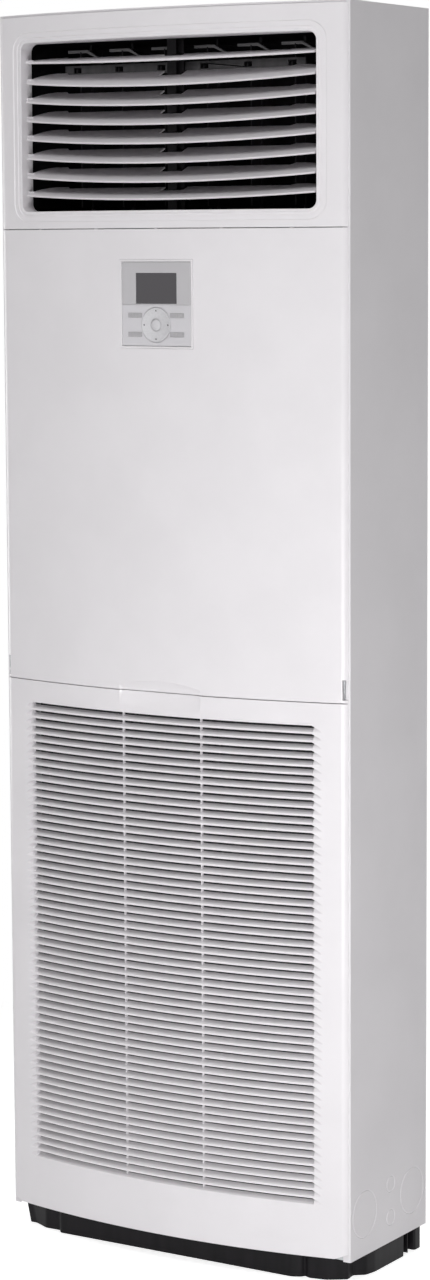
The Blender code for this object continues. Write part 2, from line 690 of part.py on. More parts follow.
def add_suction_grille():
    low, high = COVER_BOTTOM, LOWER_SEAM - SEAM_GAP / 2
    left, middle, right = slot_stations()
    stations = [-GRILLE_SOLID, *left, *middle, *right, GRILLE_SOLID]
    outer = front_curve(0.0, SPLIT, stations)
    inner = front_curve(COVER_WALL, SPLIT)
    edge = [point for point in inner if point[0] > GRILLE_SOLID]
    thick = [(x, front_y(x, GRILLE_THICKNESS)) for x in stations]
    step_right = [(GRILLE_SOLID, front_y(GRILLE_SOLID, COVER_WALL)), *edge]
    back = mirrored(step_right) + thick + step_right
    holder = bpy.data.objects.new("grille_hinge_axis", None)
    PARTS.objects.link(holder)
    holder.location = (0, HINGE_Y, HINGE_Z)
    bpy.context.view_layer.update()
    grille = extruded("suction_grille", [outer + list(reversed(back))], low, high, material=COVER_WHITE)
    for name, columns, taper in (("left", left, -1), ("middle", middle, 0), ("right", right, 1)):
        combine(grille, slot_cutter(f"slots_{name}", columns, taper))
    combine(grille, grip_scoop("grip_scoop_below"))
    across, up = CHAMFER_ACROSS, CHAMFER_UP
    for side in (-1, 1):
        corner = [(side * (HALF - across), low), (side * HALF, low + up), (side * WIDTH, low + up)]
        corner += [(side * WIDTH, low - up), (side * (HALF - across), low - up)]
        combine(grille, extruded(f"chamfer_{side + 1}", [corner], -BIG, BIG, "Y"))
        tab_front = front_y(HINGE_X, GRILLE_THICKNESS / 2)
        x_low, x_high = sorted((side * HINGE_X, side * (HINGE_X + HINGE_TAB)))
        outline = hinge_tab_outline(tab_front)
        tab = extruded(f"hinge_tab_{side + 1}", [outline], x_low, x_high, "X")
        combine(grille, tab, "UNION")
        hole = rod(
            f"hinge_hole_{side + 1}", HINGE_PIN + PIN_CLEARANCE, x_low - HINGE_TAB, x_high + HINGE_TAB,
            "X", (0, HINGE_Y, HINGE_Z),
        )
        combine(grille, hole)
    keep = grille.matrix_world.copy()
    grille.parent = holder
    grille.matrix_world = keep


def add_hinge_brackets():
    """Arms on the casing whose pins pass through the grille's tabs."""
    foot = CASING_FRONT - FIT
    outline = [*half_round(-1), (foot, HINGE_Z - HINGE_LUG), (foot, HINGE_Z + HINGE_ARM_TALL)]
    for name, side in (("hinge_bracket_left", -1), ("hinge_bracket_right", 1)):
        start = HINGE_X + HINGE_TAB + FIT
        x_low, x_high = sorted((side * start, side * (start + HINGE_ARM)))
        arm = extruded(name, [outline], x_low, x_high, "X", GALVANISED)
        pin_low, pin_high = sorted((side * (HINGE_X - HINGE_PIN), side * (start + HINGE_ARM / 2)))
        pin = rod(f"{name}_pin", HINGE_PIN, pin_low, pin_high, "X", (0, HINGE_Y, HINGE_Z))
        combine(arm, pin, "UNION")


def add_filter():
    front = FILTER_FRONT
    frame = box(
        "air_filter", (-FILTER_HALF, FILTER_HALF), (front, front + FILTER_THICKNESS),
        (FILTER_LOW, FILTER_HIGH), FILTER_DARK,
    )
    width = (2 * FILTER_HALF - 2 * FILTER_FRAME - (FILTER_COLUMNS - 1) * FILTER_BAR) / FILTER_COLUMNS
    tall = FILTER_HIGH - FILTER_LOW - 2 * FILTER_FRAME - (FILTER_ROWS - 1) * FILTER_BAR
    height = tall / FILTER_ROWS
    x, z = -FILTER_HALF + FILTER_FRAME, FILTER_LOW + FILTER_FRAME
    pocket = box(
        "filter_pockets", (x, x + width), (-BIG, front + FILTER_THICKNESS - FILTER_FABRIC),
        (z, z + height),
    )
    repeat(pocket, FILTER_COLUMNS, (width + FILTER_BAR, 0, 0))
    repeat(pocket, FILTER_ROWS, (0, 0, height + FILTER_BAR))
    combine(frame, pocket)


def add_casing():
    half = HALF - SHEET - FIT
    box(
        "inner_casing", (-half, half), (CASING_FRONT, BACK - SHEET - FIT),
        (PANEL_FOOT, CASING_TOP), GALVANISED,
    )


def vane_positions():
    return [VANE_STEP * (index - (VANE_COUNT - 1) / 2) for index in range(VANE_COUNT)]


def add_duct():
    half = OPENING_HALF + OUTLET_WALL
    front, back = SLEEVE_BACK + FIT, BACK - DUCT_REAR
    duct = box(
        "outlet_duct", (-half, half), (front, back),
        (OPENING_LOW - OUTLET_WALL, OPENING_HIGH + OUTLET_WALL), BLACK_PLASTIC,
    )
    combine(duct, box(
        "duct_inside", (-OPENING_HALF, OPENING_HALF), (-BIG, back - OUTLET_WALL),
        (OPENING_LOW, OPENING_HIGH),
    ))
    first = vane_positions()[0]
    bores = rod(
        "vane_bores", PIN_RADIUS + PIN_CLEARANCE, OPENING_LOW - 2 * OUTLET_WALL,
        OPENING_HIGH + 2 * OUTLET_WALL, "Z", (first, VANE_PIVOT_Y, 0),
    )
    repeat(bores, VANE_COUNT, (VANE_STEP, 0, 0))
    combine(duct, bores)


def blade_outline():
    """Seen from above, with the pivot line as the X axis."""
    end = OPENING_HALF - BLADE_END_GAP
    front = [
        (x, y - BLADE_PIVOT_Y) for x, y in bulge_arc(BLADE_SET_BACK, -end, end, BLADE_FACETS)
    ]
    zone = end - BLADE_END_ZONE
    stay_right = STAY_CENTRE + STAY_WIDTH / 2 + HOOK_WIDTH + BLADE_NOTCH
    stay_left = STAY_CENTRE - STAY_WIDTH / 2 - BLADE_NOTCH
    end_rear = BLADE_REAR + BLADE_END_EXTRA
    right = [(end, BLADE_END_EDGE), (end - BLADE_CHAMFER, end_rear)]
    right += [(zone + BLADE_END_EXTRA, end_rear), (zone, BLADE_REAR)]
    rear = right + [(stay_right, BLADE_REAR), (stay_right, BLADE_NOTCH_FRONT)]
    rear += [(stay_left, BLADE_NOTCH_FRONT), (stay_left, BLADE_REAR)]
    rear += mirrored(right)
    return front + rear


def add_blades():
    end = OPENING_HALF - BLADE_END_GAP
    pin_end = OPENING_HALF + OUTLET_WALL - FIT
    pin_start = end - 2 * PIN_RADIUS
    tilts = [TOP_BLADE_TILT] + [BLADE_TILT] * (BLADE_COUNT - 2) + [BOTTOM_BLADE_TILT]
    half = BLADE_THICKNESS / 2
    for index, (height, tilt) in enumerate(zip(blade_heights(), tilts), start=1):
        pivot = Matrix.Translation((0, BLADE_PIVOT_Y, height)) @ Matrix.Rotation(math.radians(tilt), 4, "X")
        blade = extruded(f"blade_{index}", [blade_outline()], -half, half, "Z", LOUVRE_GREY, pivot)
        for side in (-1, 1):
            low, high = sorted((side * pin_start, side * pin_end))
            pin = rod(f"blade_{index}_pin_{side + 1}", PIN_RADIUS, low, high, "X", (0, BLADE_PIVOT_Y, height))
            combine(blade, pin, "UNION")


def add_stay():
    front, back = STAY_FRONT, STAY_FRONT + STAY_DEPTH
    low, high = OPENING_LOW + FIT, OPENING_HIGH - FIT
    left, right = STAY_CENTRE - STAY_WIDTH / 2, STAY_CENTRE + STAY_WIDTH / 2
    stay = box("centre_stay", (left, right), (front, back), (low, high), BLACK_PLASTIC)
    comb = [(back - HOOK_REACH, low + FIT), (back - HOOK_REACH, high - FIT)]
    middle = (front + back) / 2
    comb.append((middle, high - FIT))
    for height in blade_heights():
        comb.append((middle, height + HOOK_TALL / 2))
        comb.append((front - HOOK_REACH, height + HOOK_TALL / 4))
        comb.append((front - HOOK_REACH, height - HOOK_TALL / 4))
        comb.append((middle, height - HOOK_TALL / 2))
    comb.append((middle, low + FIT))
    hooks = extruded("stay_hooks", [comb], right - HOOK_WIDTH / 2, right + HOOK_WIDTH, "X")
    combine(stay, hooks, "UNION")


def crank_outline(x, low):
    """The bent strip on a vane's top, seen from the front."""
    high = low + CRANK_STRIP
    return [
        (x - CRANK_LEFT, low),
        (x - CRANK_LEFT, high),
        (x + CRANK_FLAT, high),
        (x + CRANK_RIGHT, high - CRANK_DROP),
        (x + CRANK_RIGHT - CRANK_STRIP, high - CRANK_DROP),
        (x + CRANK_FLAT - CRANK_STRIP / 2, low),
    ]


def add_vanes():
    low = OPENING_LOW + VANE_END_GAP
    high = OPENING_HIGH - VANE_TOP_GAP
    front, rear = -VANE_FRONT, VANE_REAR
    tongue = front - LINK_GAP - LINK_THICKNESS - TONGUE_TIP
    tongue_low, tongue_high = LINK_CENTRE - TONGUE_TALL / 2, LINK_CENTRE + TONGUE_TALL / 2
    outline = [
        (front, low), (rear, low), (rear, high), (front, high),
        (front, tongue_high), (tongue, tongue_high), (tongue, tongue_low), (front, tongue_low),
    ]
    half = VANE_THICKNESS / 2
    for index, x in enumerate(vane_positions(), start=1):
        pivot = Matrix.Translation((x, VANE_PIVOT_Y, 0))
        vane = extruded(f"vane_{index}", [outline], -half, half, "X", LINK_GREY, pivot)
        pin = rod(
            f"vane_{index}_pin", PIN_RADIUS, OPENING_LOW - OUTLET_WALL + FIT,
            OPENING_HIGH + OUTLET_WALL - FIT, "Z", (x, VANE_PIVOT_Y, 0),
        )
        combine(vane, pin, "UNION")
        crank = extruded(
            f"vane_{index}_crank", [crank_outline(0, high - CRANK_STRIP / 3)],
            front + FIT, front + CRANK_DEPTH, "Y", None, pivot,
        )
        combine(vane, crank, "UNION")


def add_vane_link():
    reach = vane_positions()[-1] + LINK_OVERHANG
    half = LINK_TALL / 2
    link = box(
        "vane_link", (-reach, reach), (LINK_FRONT, LINK_BACK),
        (LINK_CENTRE - half, LINK_CENTRE + half), LINK_GREY,
    )
    first = vane_positions()[0]
    window = box(
        "link_windows", (first - WINDOW_WIDTH / 2, first + WINDOW_WIDTH / 2), (-BIG, 0),
        (LINK_CENTRE - TONGUE_TALL / 2 - FIT, LINK_CENTRE + TONGUE_TALL / 2 + WINDOW_ABOVE),
    )
    repeat(window, VANE_COUNT, (VANE_STEP, 0, 0))
    combine(link, window)


def add_controller():
    body = box(
        "controller_body", (-CONTROL_HALF, CONTROL_HALF), (CONTROL_FACE, CONTROL_FACE + CONTROL_DEPTH),
        (CONTROL_LOW, CONTROL_HIGH), COVER_WHITE,
    )
    half = SCREEN_WIDTH / 2
    seat = CONTROL_FACE + SCREEN_RECESS
    combine(body, box("screen_recess", (-half, half), (-BIG, seat), (SCREEN_LOW, SCREEN_HIGH)))
    box(
        "controller_screen", (FIT - half, half - FIT), (seat - FIT - SCREEN_THICKNESS, seat - FIT),
        (SCREEN_LOW + FIT, SCREEN_HIGH - FIT), SCREEN_DARK,
    )
    key_back = CONTROL_FACE - FIT
    key_front = key_back - KEY_PROUD
    for row, z in (("upper", PAD_CENTRE + KEY_SPREAD), ("lower", PAD_CENTRE - KEY_SPREAD)):
        for column, x in (("left", -KEY_X), ("right", KEY_X)):
            box(
                f"key_{row}_{column}", (x - KEY_WIDTH / 2, x + KEY_WIDTH / 2), (key_front, key_back),
                (z - KEY_TALL / 2, z + KEY_TALL / 2), KEY_GREY,
            )
    ring = [circle(0, PAD_CENTRE, radius, ROUND_SIDES) for radius in (PAD_RADIUS, PAD_HOLE)]
    extruded("ring_pad", ring, key_front, key_back, "Y", KEY_GREY)
    rod(
        "centre_key", PAD_HOLE - CENTRE_KEY_GAP, key_front, key_back, "Y", (0, 0, PAD_CENTRE), KEY_GREY,
        sides=ROUND_SIDES // 2,
    )


add_plinth()
add_side_panel("side_panel_left", -1)
add_side_panel("side_panel_right", 1)
add_rear_panel()
add_lid()
add_casing()
add_filter()
add_suction_grille()
add_hinge_brackets()
add_middle_panel()
add_clips()
add_controller()
add_outlet_panel()
add_duct()
add_blades()
add_stay()
add_vanes()
add_vane_link()
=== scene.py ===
# %% [markdown]
# # A floor standing air conditioner
#
# The machine is a tall, shallow cabinet: painted steel round the back and sides, moulded
# plastic covers over a gently curved front, and a black plinth. Air goes in through the
# slatted grille at the bottom and comes out between tilting blades at the top. The packed
# CAD model is loaded first, because it fixes every size and place. This script only dresses
# it: each cell below makes one piece or one finish.

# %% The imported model
import json
import math

import bmesh
import bpy
from mathutils import Matrix, Vector


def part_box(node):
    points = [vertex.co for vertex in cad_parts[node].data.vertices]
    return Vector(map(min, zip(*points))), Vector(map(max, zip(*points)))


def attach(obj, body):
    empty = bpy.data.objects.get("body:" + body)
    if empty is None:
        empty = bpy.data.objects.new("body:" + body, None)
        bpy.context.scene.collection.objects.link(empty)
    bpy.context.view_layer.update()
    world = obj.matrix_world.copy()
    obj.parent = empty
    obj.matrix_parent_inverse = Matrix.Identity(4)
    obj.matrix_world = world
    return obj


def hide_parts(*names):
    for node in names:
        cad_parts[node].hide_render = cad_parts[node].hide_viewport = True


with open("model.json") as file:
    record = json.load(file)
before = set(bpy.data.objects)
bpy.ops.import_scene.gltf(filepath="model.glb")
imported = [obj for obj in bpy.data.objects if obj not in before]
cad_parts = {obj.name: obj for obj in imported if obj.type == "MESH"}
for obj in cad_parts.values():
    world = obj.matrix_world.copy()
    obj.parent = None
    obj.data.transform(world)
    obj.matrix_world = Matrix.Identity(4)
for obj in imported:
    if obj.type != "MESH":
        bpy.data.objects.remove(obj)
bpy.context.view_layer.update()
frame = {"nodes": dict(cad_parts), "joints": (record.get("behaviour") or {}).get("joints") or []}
scene = bpy.context.scene
scene.view_settings.view_transform = "Standard"

# %% [markdown]
# ## Sizes
#
# The covers share one plan: a very shallow arc, run into two small corner arcs. Blender
# could trace it from the CAD mesh, but that one is cut into coarse facets. Working the arcs
# out again from their radii gives a smooth surface that lies within a hair of the CAD.

# %% Sizes read from the model, and the few that it can't tell
MM = 0.001
plinth_low, plinth_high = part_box("base_plinth")
lid_low, lid_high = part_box("top_plate")
outlet_low, outlet_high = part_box("outlet_panel")
middle_low, middle_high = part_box("middle_panel")
grille_low, grille_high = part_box("suction_grille")
control_low, control_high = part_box("controller_body")
screen_low, screen_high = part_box("controller_screen")
duct_low, duct_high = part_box("outlet_duct")
HALF = lid_high.x + 1.5 * MM
FRONT = grille_low.y
BACK = lid_high.y
HEIGHT = lid_high.z
SPLIT = outlet_low.y + 40.3 * MM  # the plane where the covers end
CORNER_RADIUS = 16 * MM
FRONT_BULGE = 49.1 * MM  # from the middle of the front back to the corner arcs' centres
COVER_WALL = 3 * MM
CORNER_X = HALF - CORNER_RADIUS
CORNER_Y = FRONT + FRONT_BULGE
BULGE_RADIUS = (CORNER_X**2 + FRONT_BULGE**2 - CORNER_RADIUS**2) / (2 * (FRONT_BULGE - CORNER_RADIUS))
BULGE_CENTRE = FRONT + BULGE_RADIUS


def front_y(x, depth=0.0):
    """How far back the curved front lies at x, or a surface at a depth behind it."""
    return BULGE_CENTRE - math.sqrt((BULGE_RADIUS - depth) ** 2 - x * x)


print(f"cabinet {2 * HALF:.3f} x {BACK - FRONT:.3f} x {HEIGHT:.3f} m, arc radius {BULGE_RADIUS:.3f} m")

# %% [markdown]
# ## Camera
#
# The photograph was taken from the right and a little above the middle, with a long lens.
# The angles come from fitting the cabinet's edges, so the camera is placed by its own axes
# and not by a track-to constraint, which couldn't hold the slight roll.

# %% Camera
AZIMUTH = math.radians(32.25)
ELEVATION = math.radians(6.967)
ROLL = math.radians(-0.3108)
DISTANCE = 4.8707
TARGET = Vector((0.0131, 0.0, 0.9257))
FOCAL_PIXELS = 3259.9
PHOTO_HEIGHT = 1280
SENSOR = 36.0

backward = Vector((
    math.sin(AZIMUTH) * math.cos(ELEVATION), -math.cos(AZIMUTH) * math.cos(ELEVATION), math.sin(ELEVATION),
))
level = (-backward).cross(Vector((0, 0, 1))).normalized()
upright = level.cross(-backward).normalized()
right = math.cos(ROLL) * level + math.sin(ROLL) * upright
up = math.cos(ROLL) * upright - math.sin(ROLL) * level
camera = bpy.data.objects.new("camera", bpy.data.cameras.new("camera"))
scene.collection.objects.link(camera)
camera.matrix_world = Matrix.Translation(TARGET + backward * DISTANCE) @ Matrix(
    (right, up, backward)).transposed().to_4x4()
camera.data.sensor_width = SENSOR
camera.data.lens = FOCAL_PIXELS * SENSOR / PHOTO_HEIGHT
scene.camera = camera
print(f"camera at {tuple(round(v, 3) for v in camera.location)}, {camera.data.lens:.1f} mm lens")

# %% [markdown]
# ## Colours and nodes
#
# Colours are written as the sRGB hex values that a paint program would show. Shaders work
# in linear light, so one function converts them. Another adds a node, sets it and wires it,
# which keeps each material short enough to read as a recipe. Two more add what most of the
# finishes share: a slight drift of colour, and the bump of a fine grain.

# %% Helpers for colours, nodes and materials


def colour(code):
    """A hex colour such as #E8E6E8 as linear RGBA."""
    parts = [int(code[start:start + 2], 16) / 255 for start in (1, 3, 5)]
    linear = [p / 12.92 if p <= 0.04045 else ((p + 0.055) / 1.055) ** 2.4 for p in parts]
    return (*linear, 1.0)


def add(tree, kind, inputs=None, **settings):
    """Add a node. Its inputs take values, or the output sockets of other nodes."""
    node = tree.nodes.new(kind)
    for name, value in settings.items():
        setattr(node, name, value)
    for key, value in (inputs or {}).items():
        if isinstance(value, bpy.types.NodeSocket):
            tree.links.new(value, node.inputs[key])
        else:
            node.inputs[key].default_value = value
    return node


def empty_tree(holder):
    """Switch a material or a world to nodes and hand over its tree, emptied."""
    holder.use_nodes = True
    holder.node_tree.nodes.clear()
    return holder.node_tree


def blank_material(name, **sockets):
    """A material with one Principled shader, and coordinates that stay with the object."""
    made = bpy.data.materials.new(name)
    tree = empty_tree(made)
    shader = add(tree, "ShaderNodeBsdfPrincipled", {k.replace("_", " "): v for k, v in sockets.items()})
    add(tree, "ShaderNodeOutputMaterial", {"Surface": shader.outputs["BSDF"]})
    place = add(tree, "ShaderNodeTexCoord").outputs["Object"]
    return made, tree, shader, place


def speckled(tree, shader, place, pale, dark, size):
    """Let the base colour drift between two near shades over spots of one size in metres."""
    spots = add(tree, "ShaderNodeTexNoise", {"Vector": place, "Scale": 1 / size, "Detail": 3.0})
    ramp = add(tree, "ShaderNodeValToRGB", {"Fac": spots.outputs["Fac"]})
    for element, position, code in zip(ramp.color_ramp.elements, (0.35, 0.65), (dark, pale)):
        element.position = position
        element.color = colour(code)
    tree.links.new(ramp.outputs["Color"], shader.inputs["Base Color"])


def grained(tree, shader, place, size, height, detail=2.0):
    """Bump from a fine noise, whose grains are one size in metres."""
    grain = add(tree, "ShaderNodeTexNoise", {"Vector": place, "Scale": 1 / size, "Detail": detail})
    bump = add(tree, "ShaderNodeBump", {"Height": grain.outputs["Fac"], "Distance": height, "Strength": 1.0})
    tree.links.new(bump.outputs["Normal"], shader.inputs["Normal"])


print("colour of the covers in linear light:", [round(c, 3) for c in colour("#E9E6E9")])

# %% [markdown]
# ## Covers and louvres: moulded ABS
#
# The front covers are injection moulded ABS from a fine eroded tool. That gives a satin
# sheen: a wide soft highlight with no mirror image. The real grain is about 0.1 mm, far
# under a pixel, so it is drawn at 0.8 mm, where it just breaks the highlight up.

# %% Moulded ABS
ABS_GRAIN = 0.8 * MM


def moulded_abs(name, pale, dark, roughness, grain_height=0.008 * MM):
    made, tree, shader, place = blank_material(name, Roughness=roughness, IOR=1.54)
    # The colour drifts a shade over a hand's width, as in a large moulding.
    speckled(tree, shader, place, pale, dark, 90 * MM)
    grained(tree, shader, place, ABS_GRAIN, grain_height)
    return made


COVER = moulded_abs("moulded_abs_satin_white", "#E9E6E9", "#E6E3E6", 0.36)
LOUVRE = moulded_abs("moulded_abs_louvre_white", "#E2DFE2", "#DEDBDE", 0.42)
CONTROL = moulded_abs("moulded_abs_control_grey", "#D3D1D5", "#CFCDD1", 0.45)
print("three moulded ABS finishes, grain", ABS_GRAIN / MM, "mm")

# %% [markdown]
# ## Sides, back and lid: powder-coated steel
#
# Powder coat melts into a skin with orange peel: waves about 2.5 mm across and a few
# thousandths of a millimetre high. They only show where light grazes the sheet. The coat
# is duller than the covers, so the side reads as a flat, even grey.

# %% Powder-coated steel
ORANGE_PEEL = 2.5 * MM


def powder_coat():
    made, tree, shader, place = blank_material("powder_coated_steel_white", Roughness=0.48, IOR=1.5)
    speckled(tree, shader, place, "#E5E2E5", "#E1DEE1", 140 * MM)
    grained(tree, shader, place, ORANGE_PEEL, 0.012 * MM, detail=1.0)
    return made


PAINT = powder_coat()
print("powder coat with", ORANGE_PEEL / MM, "mm orange peel")

# %% [markdown]
# ## Plinth, stay and duct: black polypropylene
#
# These are moulded in black polypropylene with a leathery grain. Black plastic is never
# quite black: it scatters a little at the surface. Its colour drifts at random, and the drift
# is stretched along the height of the piece into soft grey upright streaks, which paint in
# the upright bands of reflected light. The grain breaks reflections up, so the shader's
# specular level is well under its default.

# %% Black polypropylene
# Width of the upright streaks: a random drift of tone, stretched upright into painted bands of reflected
# light
TONE_AND_REFLECTION_STREAK = 14 * MM


def black_polypropylene(name, pale, dark, roughness, gloss=0.18):
    made, tree, shader, place = blank_material(
        name, Roughness=roughness, IOR=1.49, Specular_IOR_Level=gloss)
    stretch = add(tree, "ShaderNodeMapping", {"Vector": place, "Scale": (1.0, 1.0, 0.12)})
    speckled(tree, shader, stretch.outputs["Vector"], pale, dark, TONE_AND_REFLECTION_STREAK)
    grained(tree, shader, place, 1.2 * MM, 0.03 * MM)
    return made


BLACK = black_polypropylene("black_polypropylene_grained", "#181619", "#111012", 0.5, 0.15)
DUCT_BLACK = black_polypropylene("black_polypropylene_duct", "#121113", "#0C0B0D", 0.7, 0.1)
# Painted shade: the vane plates are grey linkage plastic, given black here for the shade deep in the duct
VANE_PAINTED_SHADE = black_polypropylene("black_polypropylene_vane", "#1E1D1F", "#171618", 0.55)
LINKAGE = black_polypropylene("dark_acetal_linkage", "#6E6D6E", "#5E5D5F", 0.38, 0.4)
LINK_DARK = black_polypropylene("dark_acetal_bar", "#4E4D4E", "#424143", 0.42, 0.3)
print("black and dark finishes with", TONE_AND_REFLECTION_STREAK / MM, "mm flow streaks")

# %% [markdown]
# ## Galvanised sheet
#
# The casing behind the filter, the hinge arms and the clips are hot-dip galvanised steel.
# The zinc freezes into crystals about 9 mm across, each with its own brightness. Voronoi
# cells are the natural pattern for that, one random value to a crystal.

# %% Galvanised steel
SPANGLE = 9 * MM
# A Mix node has one set of sockets for each kind of data, all with the same names, so its
# colour sockets are found by their numbers.
MIX_FACTOR, MIX_A, MIX_B, MIX_RESULT = 0, 6, 7, 2


def galvanised_steel():
    made, tree, shader, place = blank_material("galvanised_steel_spangled", Metallic=1.0)
    cells = add(tree, "ShaderNodeTexVoronoi", {"Vector": place, "Scale": 1 / SPANGLE})
    value = add(tree, "ShaderNodeSeparateColor", {"Color": cells.outputs["Color"]}).outputs["Red"]
    tone = add(tree, "ShaderNodeMix", {
        MIX_FACTOR: value, MIX_A: colour("#A9ABAD"), MIX_B: colour("#C3C5C7"),
    }, data_type="RGBA")
    dull = add(tree, "ShaderNodeMapRange", {"Value": value, "To Min": 0.34, "To Max": 0.52})
    tree.links.new(tone.outputs[MIX_RESULT], shader.inputs["Base Color"])
    tree.links.new(dull.outputs["Result"], shader.inputs["Roughness"])
    grained(tree, shader, place, 1.5 * MM, 0.01 * MM)
    return made


ZINC = galvanised_steel()
print("zinc crystals of", SPANGLE / MM, "mm")

# %% [markdown]
# ## Screen, keys and filter
#
# The screen is a display under smoked acrylic: a dark grey body with a clear, sharp
# surface. The keys are soft-touch silicone, which is matt and slightly mottled. The filter
# is black polypropylene net on a frame of the same plastic.

# %% Smoked acrylic, silicone and filter net
PIXEL_PITCH = 0.9 * MM  # the display's dots, three times too coarse so that they show close up


def smoked_acrylic():
    made, tree, shader, place = blank_material("smoked_acrylic_screen", Roughness=0.16, IOR=1.49)
    dots = add(tree, "ShaderNodeTexVoronoi", {
        "Vector": place, "Scale": 1 / PIXEL_PITCH, "Randomness": 0.0,
    })
    tone = add(tree, "ShaderNodeMix", {
        MIX_FACTOR: dots.outputs["Distance"], MIX_A: colour("#4B484C"), MIX_B: colour("#444245"),
    }, data_type="RGBA")
    tree.links.new(tone.outputs[MIX_RESULT], shader.inputs["Base Color"])
    return made


def soft_silicone(name, pale, dark):
    made, tree, shader, place = blank_material(name, Roughness=0.62, IOR=1.43)
    speckled(tree, shader, place, pale, dark, 3 * MM)
    grained(tree, shader, place, 0.5 * MM, 0.01 * MM)
    return made


SCREEN = smoked_acrylic()
KEY = soft_silicone("silicone_key_grey", "#B4B2B5", "#A9A7AA")
PAD = soft_silicone("silicone_pad_pale", "#D6D5D8", "#CFCED1")
MARK = soft_silicone("printed_mark_dark", "#5B595C", "#504E51")
NET = black_polypropylene("black_polypropylene_net", "#39393C", "#2C2C2F", 0.55)
print("screen, key, mark and net finishes")

# %% [markdown]
# ## Helpers that shape the pieces
#
# Every cover is a section swept along the front's plan, so one function works out the plan
# and another does the sweep. Boolean cuts and bevels are modifiers. They are applied at
# once, because a finished piece must be a plain mesh. Weighted normals keep large faces
# flat in the light right up to their rounded edges.

# %% Meshes, smoothing and bevels
SHARP = math.radians(40)


def finished(piece):
    """Apply a piece's modifiers, with normals weighted by the faces' areas."""
    weighted = piece.modifiers.new("weighted", "WEIGHTED_NORMAL")
    weighted.keep_sharp = True
    weighted.weight = 100
    return applied(piece)


def applied(piece):
    evaluated = piece.evaluated_get(bpy.context.evaluated_depsgraph_get())
    mesh = bpy.data.meshes.new_from_object(evaluated)
    piece.modifiers.clear()
    piece.data = mesh
    return piece


def smoothed(mesh):
    """Shade a mesh smooth except at sharp edges."""
    mesh.shade_smooth()
    mesh.set_sharp_from_angle(angle=SHARP)


def as_piece(name, shape, *materials):
    """A bmesh as an object in the scene."""
    bmesh.ops.recalc_face_normals(shape, faces=shape.faces)
    mesh = bpy.data.meshes.new(name)
    shape.to_mesh(mesh)
    shape.free()
    for made in materials:
        mesh.materials.append(made)
    smoothed(mesh)
    piece = bpy.data.objects.new(name, mesh)
    scene.collection.objects.link(piece)
    return piece


def rounded(piece, width, segments=2, angle=40):
    bevel = piece.modifiers.new("rounded", "BEVEL")
    bevel.width = width
    bevel.segments = segments
    bevel.limit_method = "ANGLE"
    bevel.angle_limit = math.radians(angle)
    bevel.miter_outer = "MITER_ARC"
    return piece


print("edges sharper than", round(math.degrees(SHARP)), "degrees stay sharp")

# %% Cuts, prisms and blocks


def changed(piece, other, operation="DIFFERENCE"):
    """Cut another shape out of a piece, or join it on, and remove the other shape."""
    change = piece.modifiers.new("change", "BOOLEAN")
    change.operation = operation
    change.solver = "EXACT"
    change.object = other
    applied(piece)
    bpy.data.objects.remove(other)
    smoothed(piece.data)
    return piece


def skin(shape, rows):
    """Quads between each row of vertices and the next one."""
    count = len(rows[0])
    for near, far in zip(rows, rows[1:]):
        for i in range(count):
            j = (i + 1) % count
            shape.faces.new((near[i], near[j], far[j], far[i]))


def prism(name, outline, low, high, axis, *materials):
    """An outline of points, pushed from low to high along an axis."""
    shape = bmesh.new()
    along = {
        "X": lambda u, v, w: (w, u, v), "Y": lambda u, v, w: (u, w, v), "Z": lambda u, v, w: (u, v, w),
    }[axis]
    near = [shape.verts.new(along(u, v, low)) for u, v in outline]
    far = [shape.verts.new(along(u, v, high)) for u, v in outline]
    shape.faces.new(near)
    shape.faces.new(reversed(far))
    for i in range(len(outline)):
        j = (i + 1) % len(outline)
        shape.faces.new((near[i], far[i], far[j], near[j]))
    return as_piece(name, shape, *materials)


def block(name, low, high, *materials):
    outline = [(low[0], low[1]), (high[0], low[1]), (high[0], high[1]), (low[0], high[1])]
    return prism(name, outline, low[2], high[2], "Z", *materials)


print("solid shapes ready")

# %% Joining pieces and handing them over


def joined(name, pieces):
    """Several objects as the parts of one mesh."""
    shape = bmesh.new()
    materials = []
    for piece in pieces:
        part = piece.data.copy()
        indices = []
        for made in piece.data.materials:
            if made not in materials:
                materials.append(made)
            indices.append(materials.index(made))
        for face in part.polygons:
            face.material_index = indices[face.material_index]
        shape.from_mesh(part)
        bpy.data.meshes.remove(part)
        bpy.data.objects.remove(piece)
    mesh = bpy.data.meshes.new(name)
    shape.to_mesh(mesh)
    shape.free()
    for made in materials:
        mesh.materials.append(made)
    whole = bpy.data.objects.new(name, mesh)
    scene.collection.objects.link(whole)
    return whole


def dress(piece, body, slot, *nodes):
    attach(piece, body)
    if nodes:
        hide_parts(*nodes)
    print(f"{piece.name}: {len(piece.data.polygons)} faces on {body}")


print("mesh helpers ready")

# %% The covers' plan, and a section swept along it
ARC_STEPS = 72
CORNER_STEPS = 10
ARC_REACH = math.atan2(CORNER_X, BULGE_CENTRE - CORNER_Y)
CORNER_REACH = math.radians(72)


def plan_stations(arc_steps=ARC_STEPS):
    """Places along the front from left to right: a point and the angle that it faces."""
    arc = [ARC_REACH * (2 * step / arc_steps - 1) for step in range(arc_steps + 1)]
    stations = [(BULGE_RADIUS * math.sin(a), BULGE_CENTRE - BULGE_RADIUS * math.cos(a), a) for a in arc]
    corner_turn = CORNER_REACH - ARC_REACH
    turns = [ARC_REACH + corner_turn * step / CORNER_STEPS for step in range(1, CORNER_STEPS + 1)]
    corner = [
        (CORNER_X + CORNER_RADIUS * math.sin(a), CORNER_Y - CORNER_RADIUS * math.cos(a), a) for a in turns
    ]
    return [(-x, y, -a) for x, y, a in reversed(corner)] + stations + corner


